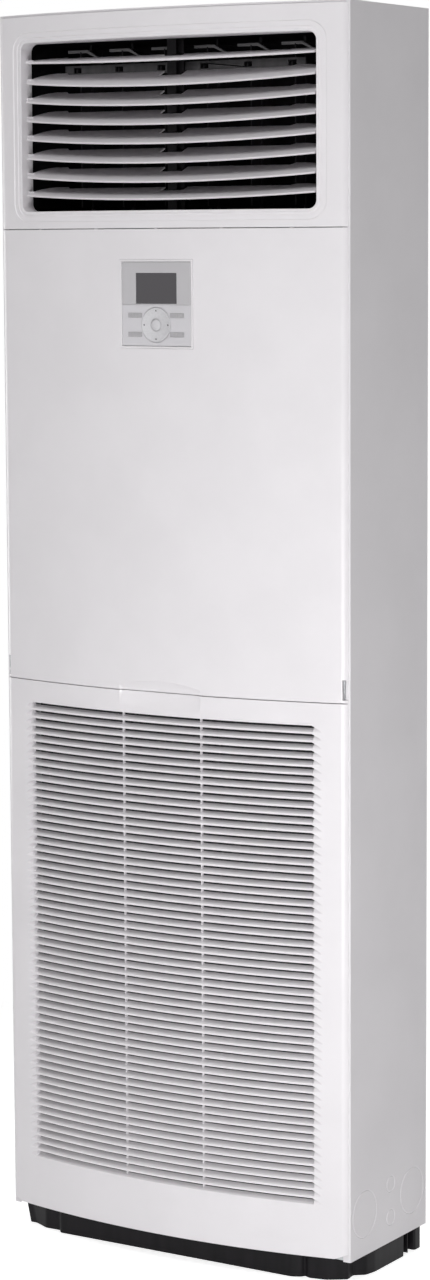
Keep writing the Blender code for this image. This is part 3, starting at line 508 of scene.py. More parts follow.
def sweep(name, section, *materials):
    """Sweep a closed section of (depth, height) points along the front, and end it at the split."""
    shape = bmesh.new()
    rings = []
    for x, y, angle in plan_stations():
        inward = (-math.sin(angle), math.cos(angle))
        rings.append([shape.verts.new((x + inward[0] * d, y + inward[1] * d, z)) for d, z in section])
    skin(shape, rings)
    shape.faces.new(rings[0])
    shape.faces.new(reversed(rings[-1]))
    everything = shape.verts[:] + shape.edges[:] + shape.faces[:]
    cut = bmesh.ops.bisect_plane(
        shape, geom=everything, plane_co=(0, SPLIT, 0), plane_no=(0, 1, 0), clear_outer=True)
    rim = [e for e in cut["geom_cut"] if isinstance(e, bmesh.types.BMEdge)]
    bmesh.ops.holes_fill(shape, edges=rim, sides=0)
    return as_piece(name, shape, *materials)


def channel_section(low, high, radius, wall, flange, lip):
    """A cover's section: a wall with rounded outer edges and a flange along top and bottom."""
    turns = [math.pi / 2 * step / 3 for step in range(4)]
    bottom = [(radius - radius * math.sin(a), low + radius - radius * math.cos(a)) for a in turns]
    top = [(radius - radius * math.cos(a), high - radius + radius * math.sin(a)) for a in turns]
    inside = [(lip, high), (lip, high - flange), (wall, high - flange), (wall, low + flange)]
    return bottom + top + inside + [(lip, low + flange), (lip, low)]


print(len(plan_stations()), "stations along the front")

# %% Lofts and turned shapes


def loft(name, rings, *materials, closed=False):
    """A skin over rings of points, filled at both ends, or closed as on a picture frame."""
    shape = bmesh.new()
    rows = [[shape.verts.new(point) for point in ring] for ring in rings]
    skin(shape, rows + rows[:1] if closed else rows)
    if not closed:
        shape.faces.new(rows[0])
        shape.faces.new(reversed(rows[-1]))
    return as_piece(name, shape, *materials)


def about_axis(centre, axis, radius, along, turn):
    """A point on a circle round an axis through a centre."""
    u, v = radius * math.cos(turn), radius * math.sin(turn)
    if axis == "Y":
        return (centre[0] + u, centre[1] + along, centre[2] + v)
    return (centre[0] + along, centre[1] + u, centre[2] + v)


def turned(name, profile, centre, steps, *materials, axis="Y"):
    """Turn a profile of (radius, distance along the axis) points, closed at both ends."""
    turns = [2 * math.pi * step / steps for step in range(steps)]
    rings = [[about_axis(centre, axis, r, along, a) for a in turns] for r, along in profile]
    return loft(name, rings, *materials)


def turned_ring(name, section, centre, steps, *materials, axis="Y"):
    """Carry a closed section of the same kind of points round the axis."""
    turns = [2 * math.pi * step / steps for step in range(steps)]
    rings = [[about_axis(centre, axis, r, along, a) for r, along in section] for a in turns]
    return loft(name, rings, *materials, closed=True)


print("lofts ready")

# %% Copies of CAD nodes, and edges chosen one by one


def from_node(node, name, material, width=0.4 * MM, segments=2, angle=40):
    """A CAD node's shape, merged and freed of needless edges, with its edges rounded."""
    shape = bmesh.new()
    shape.from_mesh(frame["nodes"][node].data)
    bmesh.ops.remove_doubles(shape, verts=shape.verts, dist=0.02 * MM)
    bmesh.ops.dissolve_limit(shape, angle_limit=math.radians(0.5), verts=shape.verts, edges=shape.edges)
    piece = as_piece(name, shape, material)
    return finished(rounded(piece, width, segments, angle))


def softened(piece, width, chosen, segments=3):
    """Round the sharp edges whose two ends both pass a test."""
    shape = bmesh.new()
    shape.from_mesh(piece.data)
    edges = [
        e for e in shape.edges
        if e.is_manifold and e.calc_face_angle() > SHARP and all(chosen(v.co) for v in e.verts)
    ]
    bmesh.ops.bevel(
        shape, geom=edges, offset=width, segments=segments, profile=0.5, affect="EDGES", clamp_overlap=True)
    shape.to_mesh(piece.data)
    shape.free()
    smoothed(piece.data)
    print(f"{piece.name}: rounded {len(edges)} edges by {width / MM:.1f} mm")
    return piece


def on_front(x, depth, z):
    return (x, front_y(x, depth), z)


def two_tone(piece, second, chosen):
    """Give a second material to the faces whose middles pass a test."""
    piece.data.materials.append(second)
    for face in piece.data.polygons:
        if chosen(face.center):
            face.material_index = 1
    return piece


print("node copies ready")

# %% [markdown]
# ## The grip across the lower seam
#
# A shallow scoop runs over both covers, under an arch. Fingers press into it to pull the
# grille open. It is cut with one shape: a wide cylinder, trimmed to the arch and to two
# sloping sides, so both halves match across the seam.

# %% Grip recess
SEAM = grille_high.z
GRIP_HALF = 70 * MM
GRIP_LOW = SEAM - 26.25 * MM
GRIP_HIGH = SEAM + 17.75 * MM
GRIP_SHOULDER = 9.2 * MM
GRIP_DEPTH = 5.5 * MM
GRIP_DRAFT = 8.3 * MM
GRIP_WALL = 3 * MM
GRIP_SPAN = GRIP_HALF * 1.2  # the cylinder runs past the arch, which trims it
GRIP_AHEAD = 30 * MM
SCOOP_STEPS, ARCH_STEPS = 28, 32


def grip_scoop(name):
    half = (GRIP_HIGH - GRIP_LOW) / 2
    radius = (half**2 + GRIP_DEPTH**2) / (2 * GRIP_DEPTH)
    middle = FRONT + GRIP_DEPTH - radius
    reach = math.asin(half / radius) * 1.2
    turns = [reach * (2 * step / SCOOP_STEPS - 1) for step in range(SCOOP_STEPS + 1)]
    centre = (GRIP_LOW + GRIP_HIGH) / 2
    curve = [(middle + radius * math.cos(a), centre + radius * math.sin(a)) for a in turns]
    ahead = [(FRONT - GRIP_AHEAD, curve[-1][1]), (FRONT - GRIP_AHEAD, curve[0][1])]
    scoop = prism(name, curve + ahead, -GRIP_SPAN, GRIP_SPAN, "X")
    arch_radius = (GRIP_HALF**2 + GRIP_SHOULDER**2) / (2 * GRIP_SHOULDER)
    sweep_angle = math.asin(GRIP_HALF / arch_radius)
    turns = [sweep_angle * (1 - 2 * step / ARCH_STEPS) for step in range(ARCH_STEPS + 1)]
    arch = [(arch_radius * math.sin(a), GRIP_HIGH - arch_radius + arch_radius * math.cos(a)) for a in turns]
    arch += [(-GRIP_HALF, GRIP_LOW - 20 * MM), (GRIP_HALF, GRIP_LOW - 20 * MM)]
    changed(scoop, prism("arch", arch, FRONT - 50 * MM, FRONT + 50 * MM, "Y"), "INTERSECT")
    side = front_y(GRIP_HALF)
    wide, narrow = GRIP_HALF + GRIP_DRAFT, GRIP_HALF - GRIP_DRAFT
    plan = [
        (-wide, side - GRIP_DEPTH), (wide, side - GRIP_DEPTH), (narrow, side + GRIP_DEPTH),
        (-narrow, side + GRIP_DEPTH),
    ]
    return changed(scoop, prism("sides", plan, GRIP_LOW - 0.1, GRIP_HIGH + 0.1, "Z"), "INTERSECT")


def grip_backing(name, low, high):
    """The thicker wall behind the scoop, rounded like the front."""
    half = GRIP_HALF + GRIP_WALL
    outline = [on_front(x, 1 * MM, 0)[:2] for x in (-half, -half / 2, 0, half / 2, half)]
    outline += [on_front(x, GRIP_DEPTH + GRIP_WALL, 0)[:2] for x in (half, half / 2, 0, -half / 2, -half)]
    return prism(name, outline, low, high, "Z")


print(f"grip from {GRIP_LOW:.4f} to {GRIP_HIGH:.4f} m")

# %% [markdown]
# ## Middle cover
#
# A plain curved cover, with the controller let into it and the upper half of the grip. Its
# horizontal edges are rolled over by 0.8 mm, which draws the bright line along each seam.
# The controller sits in a flat frame. The cover is curved, so the frame stands proud of it
# at the sides and sinks into it in the middle. Five small tabs reach up across the seam.

# %% Middle cover
EDGE = 0.8 * MM
FLANGE = 2.5 * MM
FLANGE_REACH = 13 * MM
POCKET_GAP = 0.6 * MM
POCKET_RIM = 0.5 * MM
FRAME_WIDTH = 3.2 * MM
FRAME_FIT = 0.2 * MM
FRAME_FRONT = control_low.y - 0.8 * MM
CLIP_ACROSS = 9.5 * MM
TAB_PITCH = 108 * MM
TAB_WIDTH = 4 * MM


def around_controller(name, margin, front, back, *materials):
    """A block round the controller's outline, larger by a margin."""
    return block(
        name, (control_low.x - margin, front, control_low.z - margin),
        (control_high.x + margin, back, control_high.z + margin), *materials)


def controller_frame():
    frame_back = control_low.y + 6 * MM
    ring = around_controller("frame", POCKET_GAP + FRAME_WIDTH, FRAME_FRONT, frame_back, COVER)
    changed(ring, around_controller("inside", POCKET_GAP, -1, 0))
    return finished(rounded(ring, 0.8 * MM, 3))


def seam_tabs():
    tabs = []
    for number in range(-2, 3):
        low, high = number * TAB_PITCH - TAB_WIDTH / 2, number * TAB_PITCH + TAB_WIDTH / 2
        outline = [on_front(x, d * MM, 0)[:2] for x, d in ((low, 1), (high, 1), (high, 6), (low, 6))]
        tabs.append(prism("tab", outline, middle_high.z - 0.5 * MM, outlet_low.z - 0.3 * MM, "Z", COVER))
    return tabs


def middle_cover():
    section = channel_section(middle_low.z, middle_high.z, EDGE, COVER_WALL, FLANGE, FLANGE_REACH)
    cover = sweep("middle_cover", section, COVER)
    changed(cover, grip_backing("backing", middle_low.z + FLANGE / 2, GRIP_HIGH + GRIP_WALL), "UNION")
    changed(cover, grip_scoop("scoop"))
    changed(cover, around_controller("pocket", POCKET_GAP + FRAME_WIDTH + FRAME_FIT, -1, 0))
    clip_low, clip_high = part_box("cover_clip_right")
    for side in (-1, 1):
        ends = sorted((side * (HALF - CLIP_ACROSS), side * HALF))
        notch = block(
            "notch", (ends[0], SPLIT - CORNER_RADIUS, clip_low.z - 1 * MM),
            (ends[1], SPLIT + COVER_WALL, clip_high.z + 1 * MM))
        changed(cover, notch)

    def on_pocket_rim(point):
        level = control_low.z - 10 * MM < point.z < control_high.z + 10 * MM
        inside = level and abs(point.x) < control_high.x + 6 * MM
        return inside and point.y < front_y(point.x, 0.3 * MM)

    softened(cover, POCKET_RIM, on_pocket_rim)

    def on_grip_rim(point):
        inside = abs(point.x) < GRIP_HALF + 1 * MM and GRIP_LOW < point.z < GRIP_HIGH + 1 * MM
        return inside and point.y < front_y(point.x, 0.2 * MM) and point.z > middle_low.z + 2 * EDGE

    softened(cover, 0.6 * MM, on_grip_rim, 2)
    return joined("middle_cover", [finished(cover), controller_frame(), *seam_tabs()])


dress(middle_cover(), "cabinet", "cover_white", "middle_panel")

# %% [markdown]
# ## Outlet cover
#
# The rounded opening is framed by a stepped bezel: a lowered band, a groove and a thin lip.
# A profile swept round the opening gives these steps exact widths and soft corners. Each
# point of the profile is a margin from the opening and a depth behind the curved front, so
# the bezel bends with the cover. The same profile runs back as the sleeve round the blades.

# %% Outlet cover
WALL = 3.5 * MM
OPENING_HALF = duct_high.x - WALL
OPENING_LOW = duct_low.z + WALL
OPENING_HIGH = duct_high.z - WALL
OPENING_RADIUS = 12 * MM
SLEEVE_BACK = duct_low.y - 0.3 * MM
BEZEL = [  # margin and depth in millimetres, from the front inwards to the opening's edge
    (16.5, 0.0), (15.8, 0.05), (15.3, 0.3), (15.0, 0.8), (14.5, 1.15), (13.8, 1.2), (8.3, 1.2), (7.9, 1.3),
    (7.6, 1.8), (7.2, 2.15), (6.8, 2.2), (4.6, 2.2), (4.1, 2.0), (3.7, 1.4), (3.3, 0.95), (2.7, 0.8),
    (1.3, 0.8), (0.6, 0.95), (0.15, 1.4), (0.0, 2.2),
]


def opening_loop(margin, corner_steps=8, side_steps=56):
    """Points round the opening at a margin, the same number at every margin."""
    half, radius = OPENING_HALF + margin, OPENING_RADIUS + margin
    low, high = OPENING_LOW - margin, OPENING_HIGH + margin
    flat = half - radius

    def corner(x, z, start):
        turns = [math.pi * (start + 0.5 * step / corner_steps) for step in range(corner_steps + 1)]
        return [(x + radius * math.cos(a), z + radius * math.sin(a)) for a in turns]

    points = [(flat * (2 * step / side_steps - 1), low) for step in range(side_steps)]
    points += corner(flat, low + radius, -0.5) + corner(flat, high - radius, 0.0)
    points += [(flat * (1 - 2 * step / side_steps), high) for step in range(1, side_steps)]
    points += corner(-flat, high - radius, 0.5) + corner(-flat, low + radius, 1.0)
    return points[:-1]


def bezel():
    rings = [[on_front(x, d * MM, z) for x, z in opening_loop(m * MM)] for m, d in BEZEL]
    rings.append([(x, SLEEVE_BACK, z) for x, z in opening_loop(0.0)])
    rings.append([(x, SLEEVE_BACK, z) for x, z in opening_loop(WALL)])
    rings.append([on_front(x, 5 * MM, z) for x, z in opening_loop(WALL)])
    rings.append([on_front(x, 5 * MM, z) for x, z in opening_loop(BEZEL[0][0] * MM)])
    return loft("bezel", rings, COVER, closed=True)


def outlet_cover():
    section = channel_section(outlet_low.z, outlet_high.z, EDGE, COVER_WALL, FLANGE, FLANGE_REACH)
    cover = sweep("outlet_cover", section, COVER)
    hole = prism("hole", opening_loop(BEZEL[0][0] * MM), -1, 0, "Y")
    changed(cover, hole)
    return joined("outlet_cover", [finished(cover), finished(bezel())])


dress(outlet_cover(), "cabinet", "cover_white", "outlet_panel")

# %% [markdown]
# ## Suction grille: one slat, repeated
#
# The grille is the piece that takes most care. Each slat has a blunt white nose and a face
# that rises towards the back, and at both ends the slot above it closes in a curve. One
# slat is lofted along the front, and a Geometry Nodes tree stacks it on a line of points,
# because fifty-nine slats differ only in height. The tree's sizes are named inputs.

# %% One slat
SLOT_PITCH = 12 * MM
SLOT_TALL = 8.8 * MM
SLOT_SLOPE = 0.45
SLAT_DEPTH = 10 * MM
FIRST_SLOT = SEAM + 0.55 * MM - 33.8 * MM
SLOT_ROWS = 59
SLOT_HALF = 245 * MM
SLOT_END = 261.5 * MM
RIB_X = 68 * MM
RIB_WIDTH = 2 * MM
RIB_SET_BACK = 6 * MM
NOSE_ROUND = 0.9 * MM
SLOT_SHUT = 2 * MM  # how far past SLOT_HALF the dark gap behind a slat closes
RAMP_END = 0.1  # share of the slat's depth that is left where a slot ends


def corner_curve(corner, towards, away, size, steps=4):
    """A quarter-like curve that cuts a corner between two directions."""
    points = []
    for step in range(steps + 1):
        u = step / steps
        points.append(tuple(
            corner[i] + towards[i] * size * (1 - u) ** 2 + away[i] * size * u**2 for i in (0, 1)))
    return points


def slat_back(x):
    """How the slot closes at x: its end's share, and the depth and height of the face's rear edge."""
    past = max(0.0, abs(x) - SLOT_HALF)
    end = past / (SLOT_END - SLOT_HALF)
    depth = SLAT_DEPTH * (1 - (1 - RAMP_END) * end)
    height = SLOT_PITCH - SLOT_TALL + depth * SLOT_SLOPE + SLOT_TALL * min(1.0, past / SLOT_SHUT)
    return end, depth, height


def slat_ring(x):
    """The slat's section at x as points in space, round its top, its nose and its underside."""
    end, depth, height = slat_back(x)
    drop = SLOT_TALL * end**1.2
    nose = SLOT_PITCH - SLOT_TALL
    size = max(NOSE_ROUND * (1 - end), 0.01 * MM)
    face = Vector((depth, height - nose)).normalized()
    under = Vector((1, SLOT_SLOPE)).normalized()
    top = corner_curve((0, nose), face, (0, -1), size)
    bottom = corner_curve((0, -drop), (0, 1), under, size)
    rear = [(depth, depth * SLOT_SLOPE - drop), (depth, height)]
    return [on_front(x, d, z) for d, z in top + bottom + rear]


def slat_stations():
    middle = [SLOT_HALF * (2 * step / 48 - 1) for step in range(49)]
    ends = [SLOT_HALF + (SLOT_END - SLOT_HALF) * share for share in (0.05, 0.12, 0.3, 0.5, 0.7, 0.85, 1.0)]
    return [-x for x in reversed(ends)] + middle + ends


slat = loft("slat", [slat_ring(x) for x in slat_stations()], COVER)
print("one slat has", len(slat.data.polygons), "faces")

# %% A tree that stacks a shape along a line


def tree_with_inputs(name, **kinds):
    """A geometry tree with a material and other inputs, and the identifiers that set them."""
    tree = bpy.data.node_groups.new(name, "GeometryNodeTree")
    for way in ("INPUT", "OUTPUT"):
        tree.interface.new_socket("Geometry", in_out=way, socket_type="NodeSocketGeometry")
    sockets = {}
    for key, kind in {**kinds, "material": "Material"}.items():
        label = key.replace("_", " ").capitalize()
        made = tree.interface.new_socket(label, in_out="INPUT", socket_type=f"NodeSocket{kind}")
        sockets[key] = made.identifier
    return tree, sockets


def end_coated(tree, given, geometry):
    """End a tree: instances become real and take the material that was given."""
    real = add(tree, "GeometryNodeRealizeInstances", {"Geometry": geometry})
    coated = add(tree, "GeometryNodeSetMaterial", {
        "Geometry": real.outputs["Geometry"], "Material": given["Material"],
    })
    add(tree, "NodeGroupOutput", {"Geometry": coated.outputs["Geometry"]})


def run_tree(piece, tree, sockets, **values):
    """Run a tree on a piece and keep the result as its plain mesh."""
    modifier = piece.modifiers.new(tree.name, "NODES")
    modifier.node_group = tree
    for key, value in values.items():
        modifier[sockets[key]] = value
    return applied(piece)


def stacking_tree():
    """Repeat the object's own mesh on a line of points."""
    tree, sockets = tree_with_inputs("stack_along_a_line", count="Int", start="Vector", step="Vector")
    given = add(tree, "NodeGroupInput").outputs
    line = add(tree, "GeometryNodeMeshLine", {
        "Count": given["Count"], "Start Location": given["Start"], "Offset": given["Step"],
    }, mode="OFFSET")
    copies = add(tree, "GeometryNodeInstanceOnPoints", {
        "Points": line.outputs["Mesh"], "Instance": given["Geometry"],
    })
    end_coated(tree, given, copies.outputs["Instances"])
    return tree, sockets


STACK, STACK_SOCKETS = stacking_tree()


def stacked(piece, material, **values):
    return run_tree(piece, STACK, STACK_SOCKETS, material=material, **values)


stacked(slat, COVER, count=SLOT_ROWS, start=(0, 0, FIRST_SLOT), step=(0, 0, -SLOT_PITCH))
print("all the slats have", len(slat.data.polygons), "faces")

# %% [markdown]
# ## Suction grille: frame, ribs and hinge tabs
#
# The frame is swept like the other covers and its window is cut to the slats' slope. Two
# ribs tie the slats together. The two tabs at the bottom turn on the hinge pins; their
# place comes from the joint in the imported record.

# %% Grille frame
CHAMFER_ACROSS = 22 * MM
CHAMFER_UP = 8.8 * MM
HINGE_LUG = 3.8 * MM
HINGE_TAB = 8 * MM
HINGE_INSET = 2 * MM  # from the bracket's edge to the tab
WINDOW_FRONT, WINDOW_BACK = -5 * MM, 20 * MM  # how far the cut reaches ahead of the front and behind
WINDOW_STEPS = 60
joints = {joint["name"]: joint for joint in frame["joints"]}
hinge = joints["grille_open"]["pos_m"]
bracket_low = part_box("hinge_bracket_right")[0]


def sloping_strip(name, x_low, x_high, front, back, low, high, steps, *materials):
    """A strip of the slats' slope that follows the front between two depths."""
    section = [(front, low), (back, low), (back, high), (front, high)]
    places = [x_low + (x_high - x_low) * step / steps for step in range(steps + 1)]
    rings = [[on_front(x, d, z + d * SLOT_SLOPE) for d, z in section] for x in places]
    return loft(name, rings, *materials)


def grille_frame():
    section = channel_section(grille_low.z, grille_high.z, EDGE, COVER_WALL, FLANGE, FLANGE_REACH)
    cover = sweep("grille_frame", section, COVER)
    changed(cover, grip_backing("backing", GRIP_LOW - GRIP_WALL / 2, grille_high.z - FLANGE / 2), "UNION")
    changed(cover, grip_scoop("scoop"))
    foot = FIRST_SLOT - (SLOT_ROWS - 1) * SLOT_PITCH - SLOT_TALL
    head = FIRST_SLOT + SLOT_PITCH - SLOT_TALL
    window = sloping_strip("window", -SLOT_END, SLOT_END, WINDOW_FRONT, WINDOW_BACK, foot, head, WINDOW_STEPS)
    changed(cover, window)
    for side in (-1, 1):
        low = grille_low.z
        inner, outer = side * (HALF - CHAMFER_ACROSS), side * (HALF + CHAMFER_ACROSS)
        corner = [(inner, low), (side * HALF, low + CHAMFER_UP), (outer, low + CHAMFER_UP),
                  (outer, low - CHAMFER_UP), (inner, low - CHAMFER_UP)]
        changed(cover, prism("chamfer", corner, -1, 1, "Y"))
    return finished(cover), foot, head


def sill(foot):
    """The face of the lowest slot, which carries on from the frame's cut edge."""
    wall_edge, hair = COVER_WALL - 0.3 * MM, 0.05 * MM
    rings = []
    for x in slat_stations():
        end, depth, height = slat_back(x)
        start = wall_edge if end == 0 else hair
        rise, below = height - (SLOT_PITCH - SLOT_TALL), -SLOT_PITCH / 3
        section = [(start, below), (depth, below), (depth, rise), (start, rise * start / depth - hair)]
        rings.append([on_front(x, d, foot + z) for d, z in section])
    return loft("sill", rings, COVER)


def grille_ribs(foot, head):
    ribs = []
    for centre in (-RIB_X, RIB_X):
        low, high = centre - RIB_WIDTH / 2, centre + RIB_WIDTH / 2
        ribs.append(sloping_strip("rib", low, high, RIB_SET_BACK, SLAT_DEPTH, foot, head, 1, COVER))
    return ribs


def hinge_tabs():
    turns = [math.pi * step / 10 for step in range(11)]
    nose = [(hinge[1] + HINGE_LUG * math.sin(a), hinge[2] + HINGE_LUG * math.cos(a)) for a in turns]
    inner = bracket_low.x + HINGE_INSET
    tabs = []
    for side in (-1, 1):
        start = front_y(inner, COVER_WALL / 2)
        outline = [(start, hinge[2] + HINGE_LUG), *nose, (start, hinge[2] - HINGE_LUG)]
        ends = sorted((side * inner, side * (inner + HINGE_TAB)))
        tabs.append(prism("tab", outline, *ends, "X", COVER))
    return tabs


grille_skin, window_foot, window_head = grille_frame()
intake = joined("intake_grille", [
    grille_skin, finished(slat), sill(window_foot), *grille_ribs(window_foot, window_head), *hinge_tabs()])
dress(intake, "suction_grille", "cover_white", "suction_grille")

# %% [markdown]
# ## Outlet louvres
#
# Eight moulded blades tilt together and send the air up or down. Each has a round nose 3 mm
# thick, thins out behind it, reaches further back at both ends and has a notch for the
# centre stay. One blade is lofted flat, and a Geometry Nodes tree hangs it on its pivot at
# its own tilt. Every blade turns on a body of its own, so each becomes its own mesh.

# %% One louvre, lying flat on its pivot line
LOUVRE_PIVOT = joints["blade_tilt_1"]["pos_m"][1]
LOUVRE_END = OPENING_HALF - 5.5 * MM
LOUVRE_SET_BACK = 7 * MM
NOSE = 1.5 * MM
THIN = 1.1 * MM
NOSE_BACK, THIN_START = 5 * MM, 8 * MM  # where the nose ends and where the blade is at its thinnest
REAR_ROUND = 0.3 * MM
PIN_STEPS = 16
PIN_RADIUS = 2.5 * MM
END_ZONE = LOUVRE_END - 57 * MM
REAR_EDGE = [  # x and the distance behind the pivot line, from the left end to the right
    (-LOUVRE_END, 4), (-LOUVRE_END + 3 * MM, 9), (-LOUVRE_END + 9 * MM, 16), (-LOUVRE_END + 18 * MM, 22),
    (-LOUVRE_END + 30 * MM, 25), (-END_ZONE - 7 * MM, 25), (-END_ZONE, 18), (-22 * MM, 18),
    (-21.8 * MM, 1), (17.8 * MM, 1), (18 * MM, 18), (END_ZONE, 18), (END_ZONE + 7 * MM, 25),
    (LOUVRE_END - 30 * MM, 25), (LOUVRE_END - 18 * MM, 22), (LOUVRE_END - 9 * MM, 16),
    (LOUVRE_END - 3 * MM, 9), (LOUVRE_END, 4),
]


def rear_edge(x):
    for (x0, y0), (x1, y1) in zip(REAR_EDGE, REAR_EDGE[1:]):
        if x <= x1:
            return (y0 + (y1 - y0) * max(0.0, (x - x0) / (x1 - x0))) * MM
    return REAR_EDGE[-1][1] * MM


def louvre_ring(x):
    front, rear = front_y(x, LOUVRE_SET_BACK) - LOUVRE_PIVOT, rear_edge(x)
    turns = [math.pi * (0.5 + step / 8) for step in range(9)]
    section = [(front + NOSE + NOSE * math.cos(a), NOSE * math.sin(a)) for a in turns]
    section += [(front + NOSE_BACK, -NOSE), (front + THIN_START, -THIN), (rear - THIN, -THIN)]
    section += [(rear - REAR_ROUND, -0.7 * THIN), (rear, 0), (rear - REAR_ROUND, 0.7 * THIN)]
    section += [(rear - THIN, THIN), (front + THIN_START, THIN), (front + NOSE_BACK, NOSE)]
    return [(x, y, z) for y, z in section]


def louvre_shape():
    places = sorted({x for x, _ in REAR_EDGE} | {LOUVRE_END * (2 * step / 48 - 1) for step in range(49)})
    blade = loft("louvre", [louvre_ring(x) for x in places], LOUVRE)
    start, stop = LOUVRE_END - 5 * MM, duct_high.x - 0.3 * MM
    profile = [(PIN_RADIUS, start), (PIN_RADIUS, stop - 0.4 * MM), (PIN_RADIUS - 0.4 * MM, stop)]
    pins = [
        turned("pin", [(r, side * along) for r, along in profile], (0, 0, 0), PIN_STEPS, LOUVRE, axis="X")
        for side in (1, -1)
    ]
    return joined("louvre", [blade, *pins])


louvre = louvre_shape()
print("one louvre has", len(louvre.data.polygons), "faces")

# %% A tree that hangs a shape on a pivot


def hanging_tree():
    """Turn the object's own mesh about X and move it to its pivot."""
    tree, sockets = tree_with_inputs("hang_on_a_pivot", pivot="Vector", tilt_in_degrees="Float")
    given = add(tree, "NodeGroupInput").outputs
    angle = add(tree, "ShaderNodeMath", {0: given["Tilt in degrees"]}, operation="RADIANS")
    euler = add(tree, "ShaderNodeCombineXYZ", {"X": angle.outputs[0]})
    turn = add(tree, "FunctionNodeEulerToRotation", {0: euler.outputs[0]})
    hung = add(tree, "GeometryNodeTransform", {
        "Geometry": given["Geometry"], "Translation": given["Pivot"], "Rotation": turn.outputs[0],
    })
    end_coated(tree, given, hung.outputs["Geometry"])
    return tree, sockets


HANG, HANG_SOCKETS = hanging_tree()


def hung_copy(shape, name, pivot, tilt, material):
    piece = bpy.data.objects.new(name, shape.data.copy())
    scene.collection.objects.link(piece)
    return run_tree(piece, HANG, HANG_SOCKETS, pivot=pivot, tilt_in_degrees=tilt, material=material)


TILTS = [10.5, 23.0, 23.0, 23.0, 23.0, 23.0, 23.0, 18.5]  # front edge down, in degrees
for number, tilt in enumerate(TILTS, start=1):
    pivot = joints[f"blade_tilt_{number}"]["pos_m"]
    blade = hung_copy(louvre, f"louvre_{number}", pivot, tilt, LOUVRE)
    dress(blade, f"blade_{number}", "louvre_grey", f"blade_{number}")
bpy.data.objects.remove(louvre)

# %% [markdown]
# ## Vanes, link, stay and duct
#
# Behind the louvres hang six upright vanes, each with a bent crank on top, and a bar with
# windows that swings them together. A black stay stands in the middle, with a hook for each
# louvre. Their CAD shapes are right, so each is copied, merged and given rounded edges.

# %% Pieces behind the louvres
CRANK_START = 15 * MM
PLATE_HALF = 1.2 * MM


def upright_vane(number):
    """A vane whose plate is painted black as shade from deep in the duct, and whose crank, ahead of the pivot
    and beside the plate, keeps the grey of the linkage.
    """
    pivot = Vector(joints[f"vane_swing_{number}"]["pos_m"])
    vane = from_node(f"vane_{number}", f"upright_vane_{number}", VANE_PAINTED_SHADE, 0.35 * MM)
    return two_tone(vane, LINKAGE, lambda middle: (
        middle.y < pivot.y - CRANK_START and abs(middle.x - pivot.x) > PLATE_HALF))


for number in range(1, 7):
    dress(upright_vane(number), f"vane_{number}", "link_grey", f"vane_{number}")
dress(from_node("vane_link", "link_bar", LINK_DARK, 0.5 * MM), "vane_link", "link_grey", "vane_link")
dress(from_node("centre_stay", "hooked_stay", BLACK, 0.5 * MM), "cabinet", "black_plastic", "centre_stay")
dress(from_node("outlet_duct", "air_duct", DUCT_BLACK, 0.8 * MM), "cabinet", "black_plastic", "outlet_duct")

# %% Hinge arms and clips
for side in ("left", "right"):
    arm = from_node(f"hinge_bracket_{side}", f"hinge_arm_{side}", ZINC, 0.3 * MM)
    dress(arm, "cabinet", "galvanised", f"hinge_bracket_{side}")
    clip = from_node(f"cover_clip_{side}", f"cover_spring_{side}", ZINC, 0.2 * MM)
    dress(clip, "cabinet", "galvanised", f"cover_clip_{side}")

# %% [markdown]
# ## Filter and casing
#
# When the grille swings open, the air filter shows: a frame with bars, and a net between
# them. Real net has threads about 1 mm apart; here they are 8 mm apart so that they can be
# seen, and the same stacking tree that made the slats lays them. Behind it is the sheet
# casing round the coil and fan, whose plain CAD shape stays and gets its zinc finish.

# %% Filter
NET_PITCH = 8 * MM
NET_EDGE = 6 * MM
THREAD = 0.8 * MM
FRAME_EDGE = 0.3 * MM  # rounded in one segment; with 0.6 mm in two segments, one cell of the frame rendered black


def filter_threads():
    low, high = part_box("air_filter")
    front, back = low.y + 3.6 * MM, low.y + 4.6 * MM
    left, right = low.x + NET_EDGE, high.x - NET_EDGE
    foot, head = low.z + NET_EDGE, high.z - NET_EDGE
    columns = round((high.x - low.x - 2 * NET_EDGE) / NET_PITCH)
    rows = round((high.z - low.z - 2 * NET_EDGE) / NET_PITCH)
    standing = block("thread", (left, front, foot), (left + THREAD, back, head))
    stacked(standing, NET, count=columns, start=(0, 0, 0), step=(NET_PITCH, 0, 0))
    lying = block("thread", (left, front, foot), (right, back, foot + THREAD))
    stacked(lying, NET, count=rows, start=(0, 0, 0), step=(0, 0, NET_PITCH))
    return [standing, lying]


filter_frame = from_node("air_filter", "filter_frame", NET, FRAME_EDGE, 1)
dress(joined("filter_net", [filter_frame, *filter_threads()]), "cabinet", "filter_dark", "air_filter")
for slot in frame["nodes"]["inner_casing"].material_slots:
    slot.material = ZINC
print("casing coated")

# %% [markdown]
# ## Side sheets
#
# Each side is one folded steel sheet. A fold is never a sharp corner: the outside of this
# one has a radius of 2 mm, which draws the bright upright line beside the covers. Near the
# foot, round knock-outs for pipes and cables are held by pressed grooves.

# %% Side sheets
SHEET = 1.2 * MM
FOLD_RADIUS = 2.0 * MM
FOLD_REACH = 12 * MM
KNOCKOUT_WIDTH = 2.2 * MM
KNOCKOUT_DEPTH = 0.6 * MM
KNOCKOUT_STEPS = 72
panel_low, panel_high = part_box("side_panel_right")
KNOCKOUT_MIDDLE = (panel_low.y + BACK - 2.3 * MM) / 2 + 6.5 * MM
KNOCKOUTS = [  # y, height above the panel's foot, radius
    (panel_low.y + 42.2 * MM, 62.7 * MM, 36 * MM), (BACK - 44.5 * MM, 62.7 * MM, 36 * MM),
    (KNOCKOUT_MIDDLE, 37.7 * MM, 13 * MM), (KNOCKOUT_MIDDLE, 88.7 * MM, 13 * MM),
]


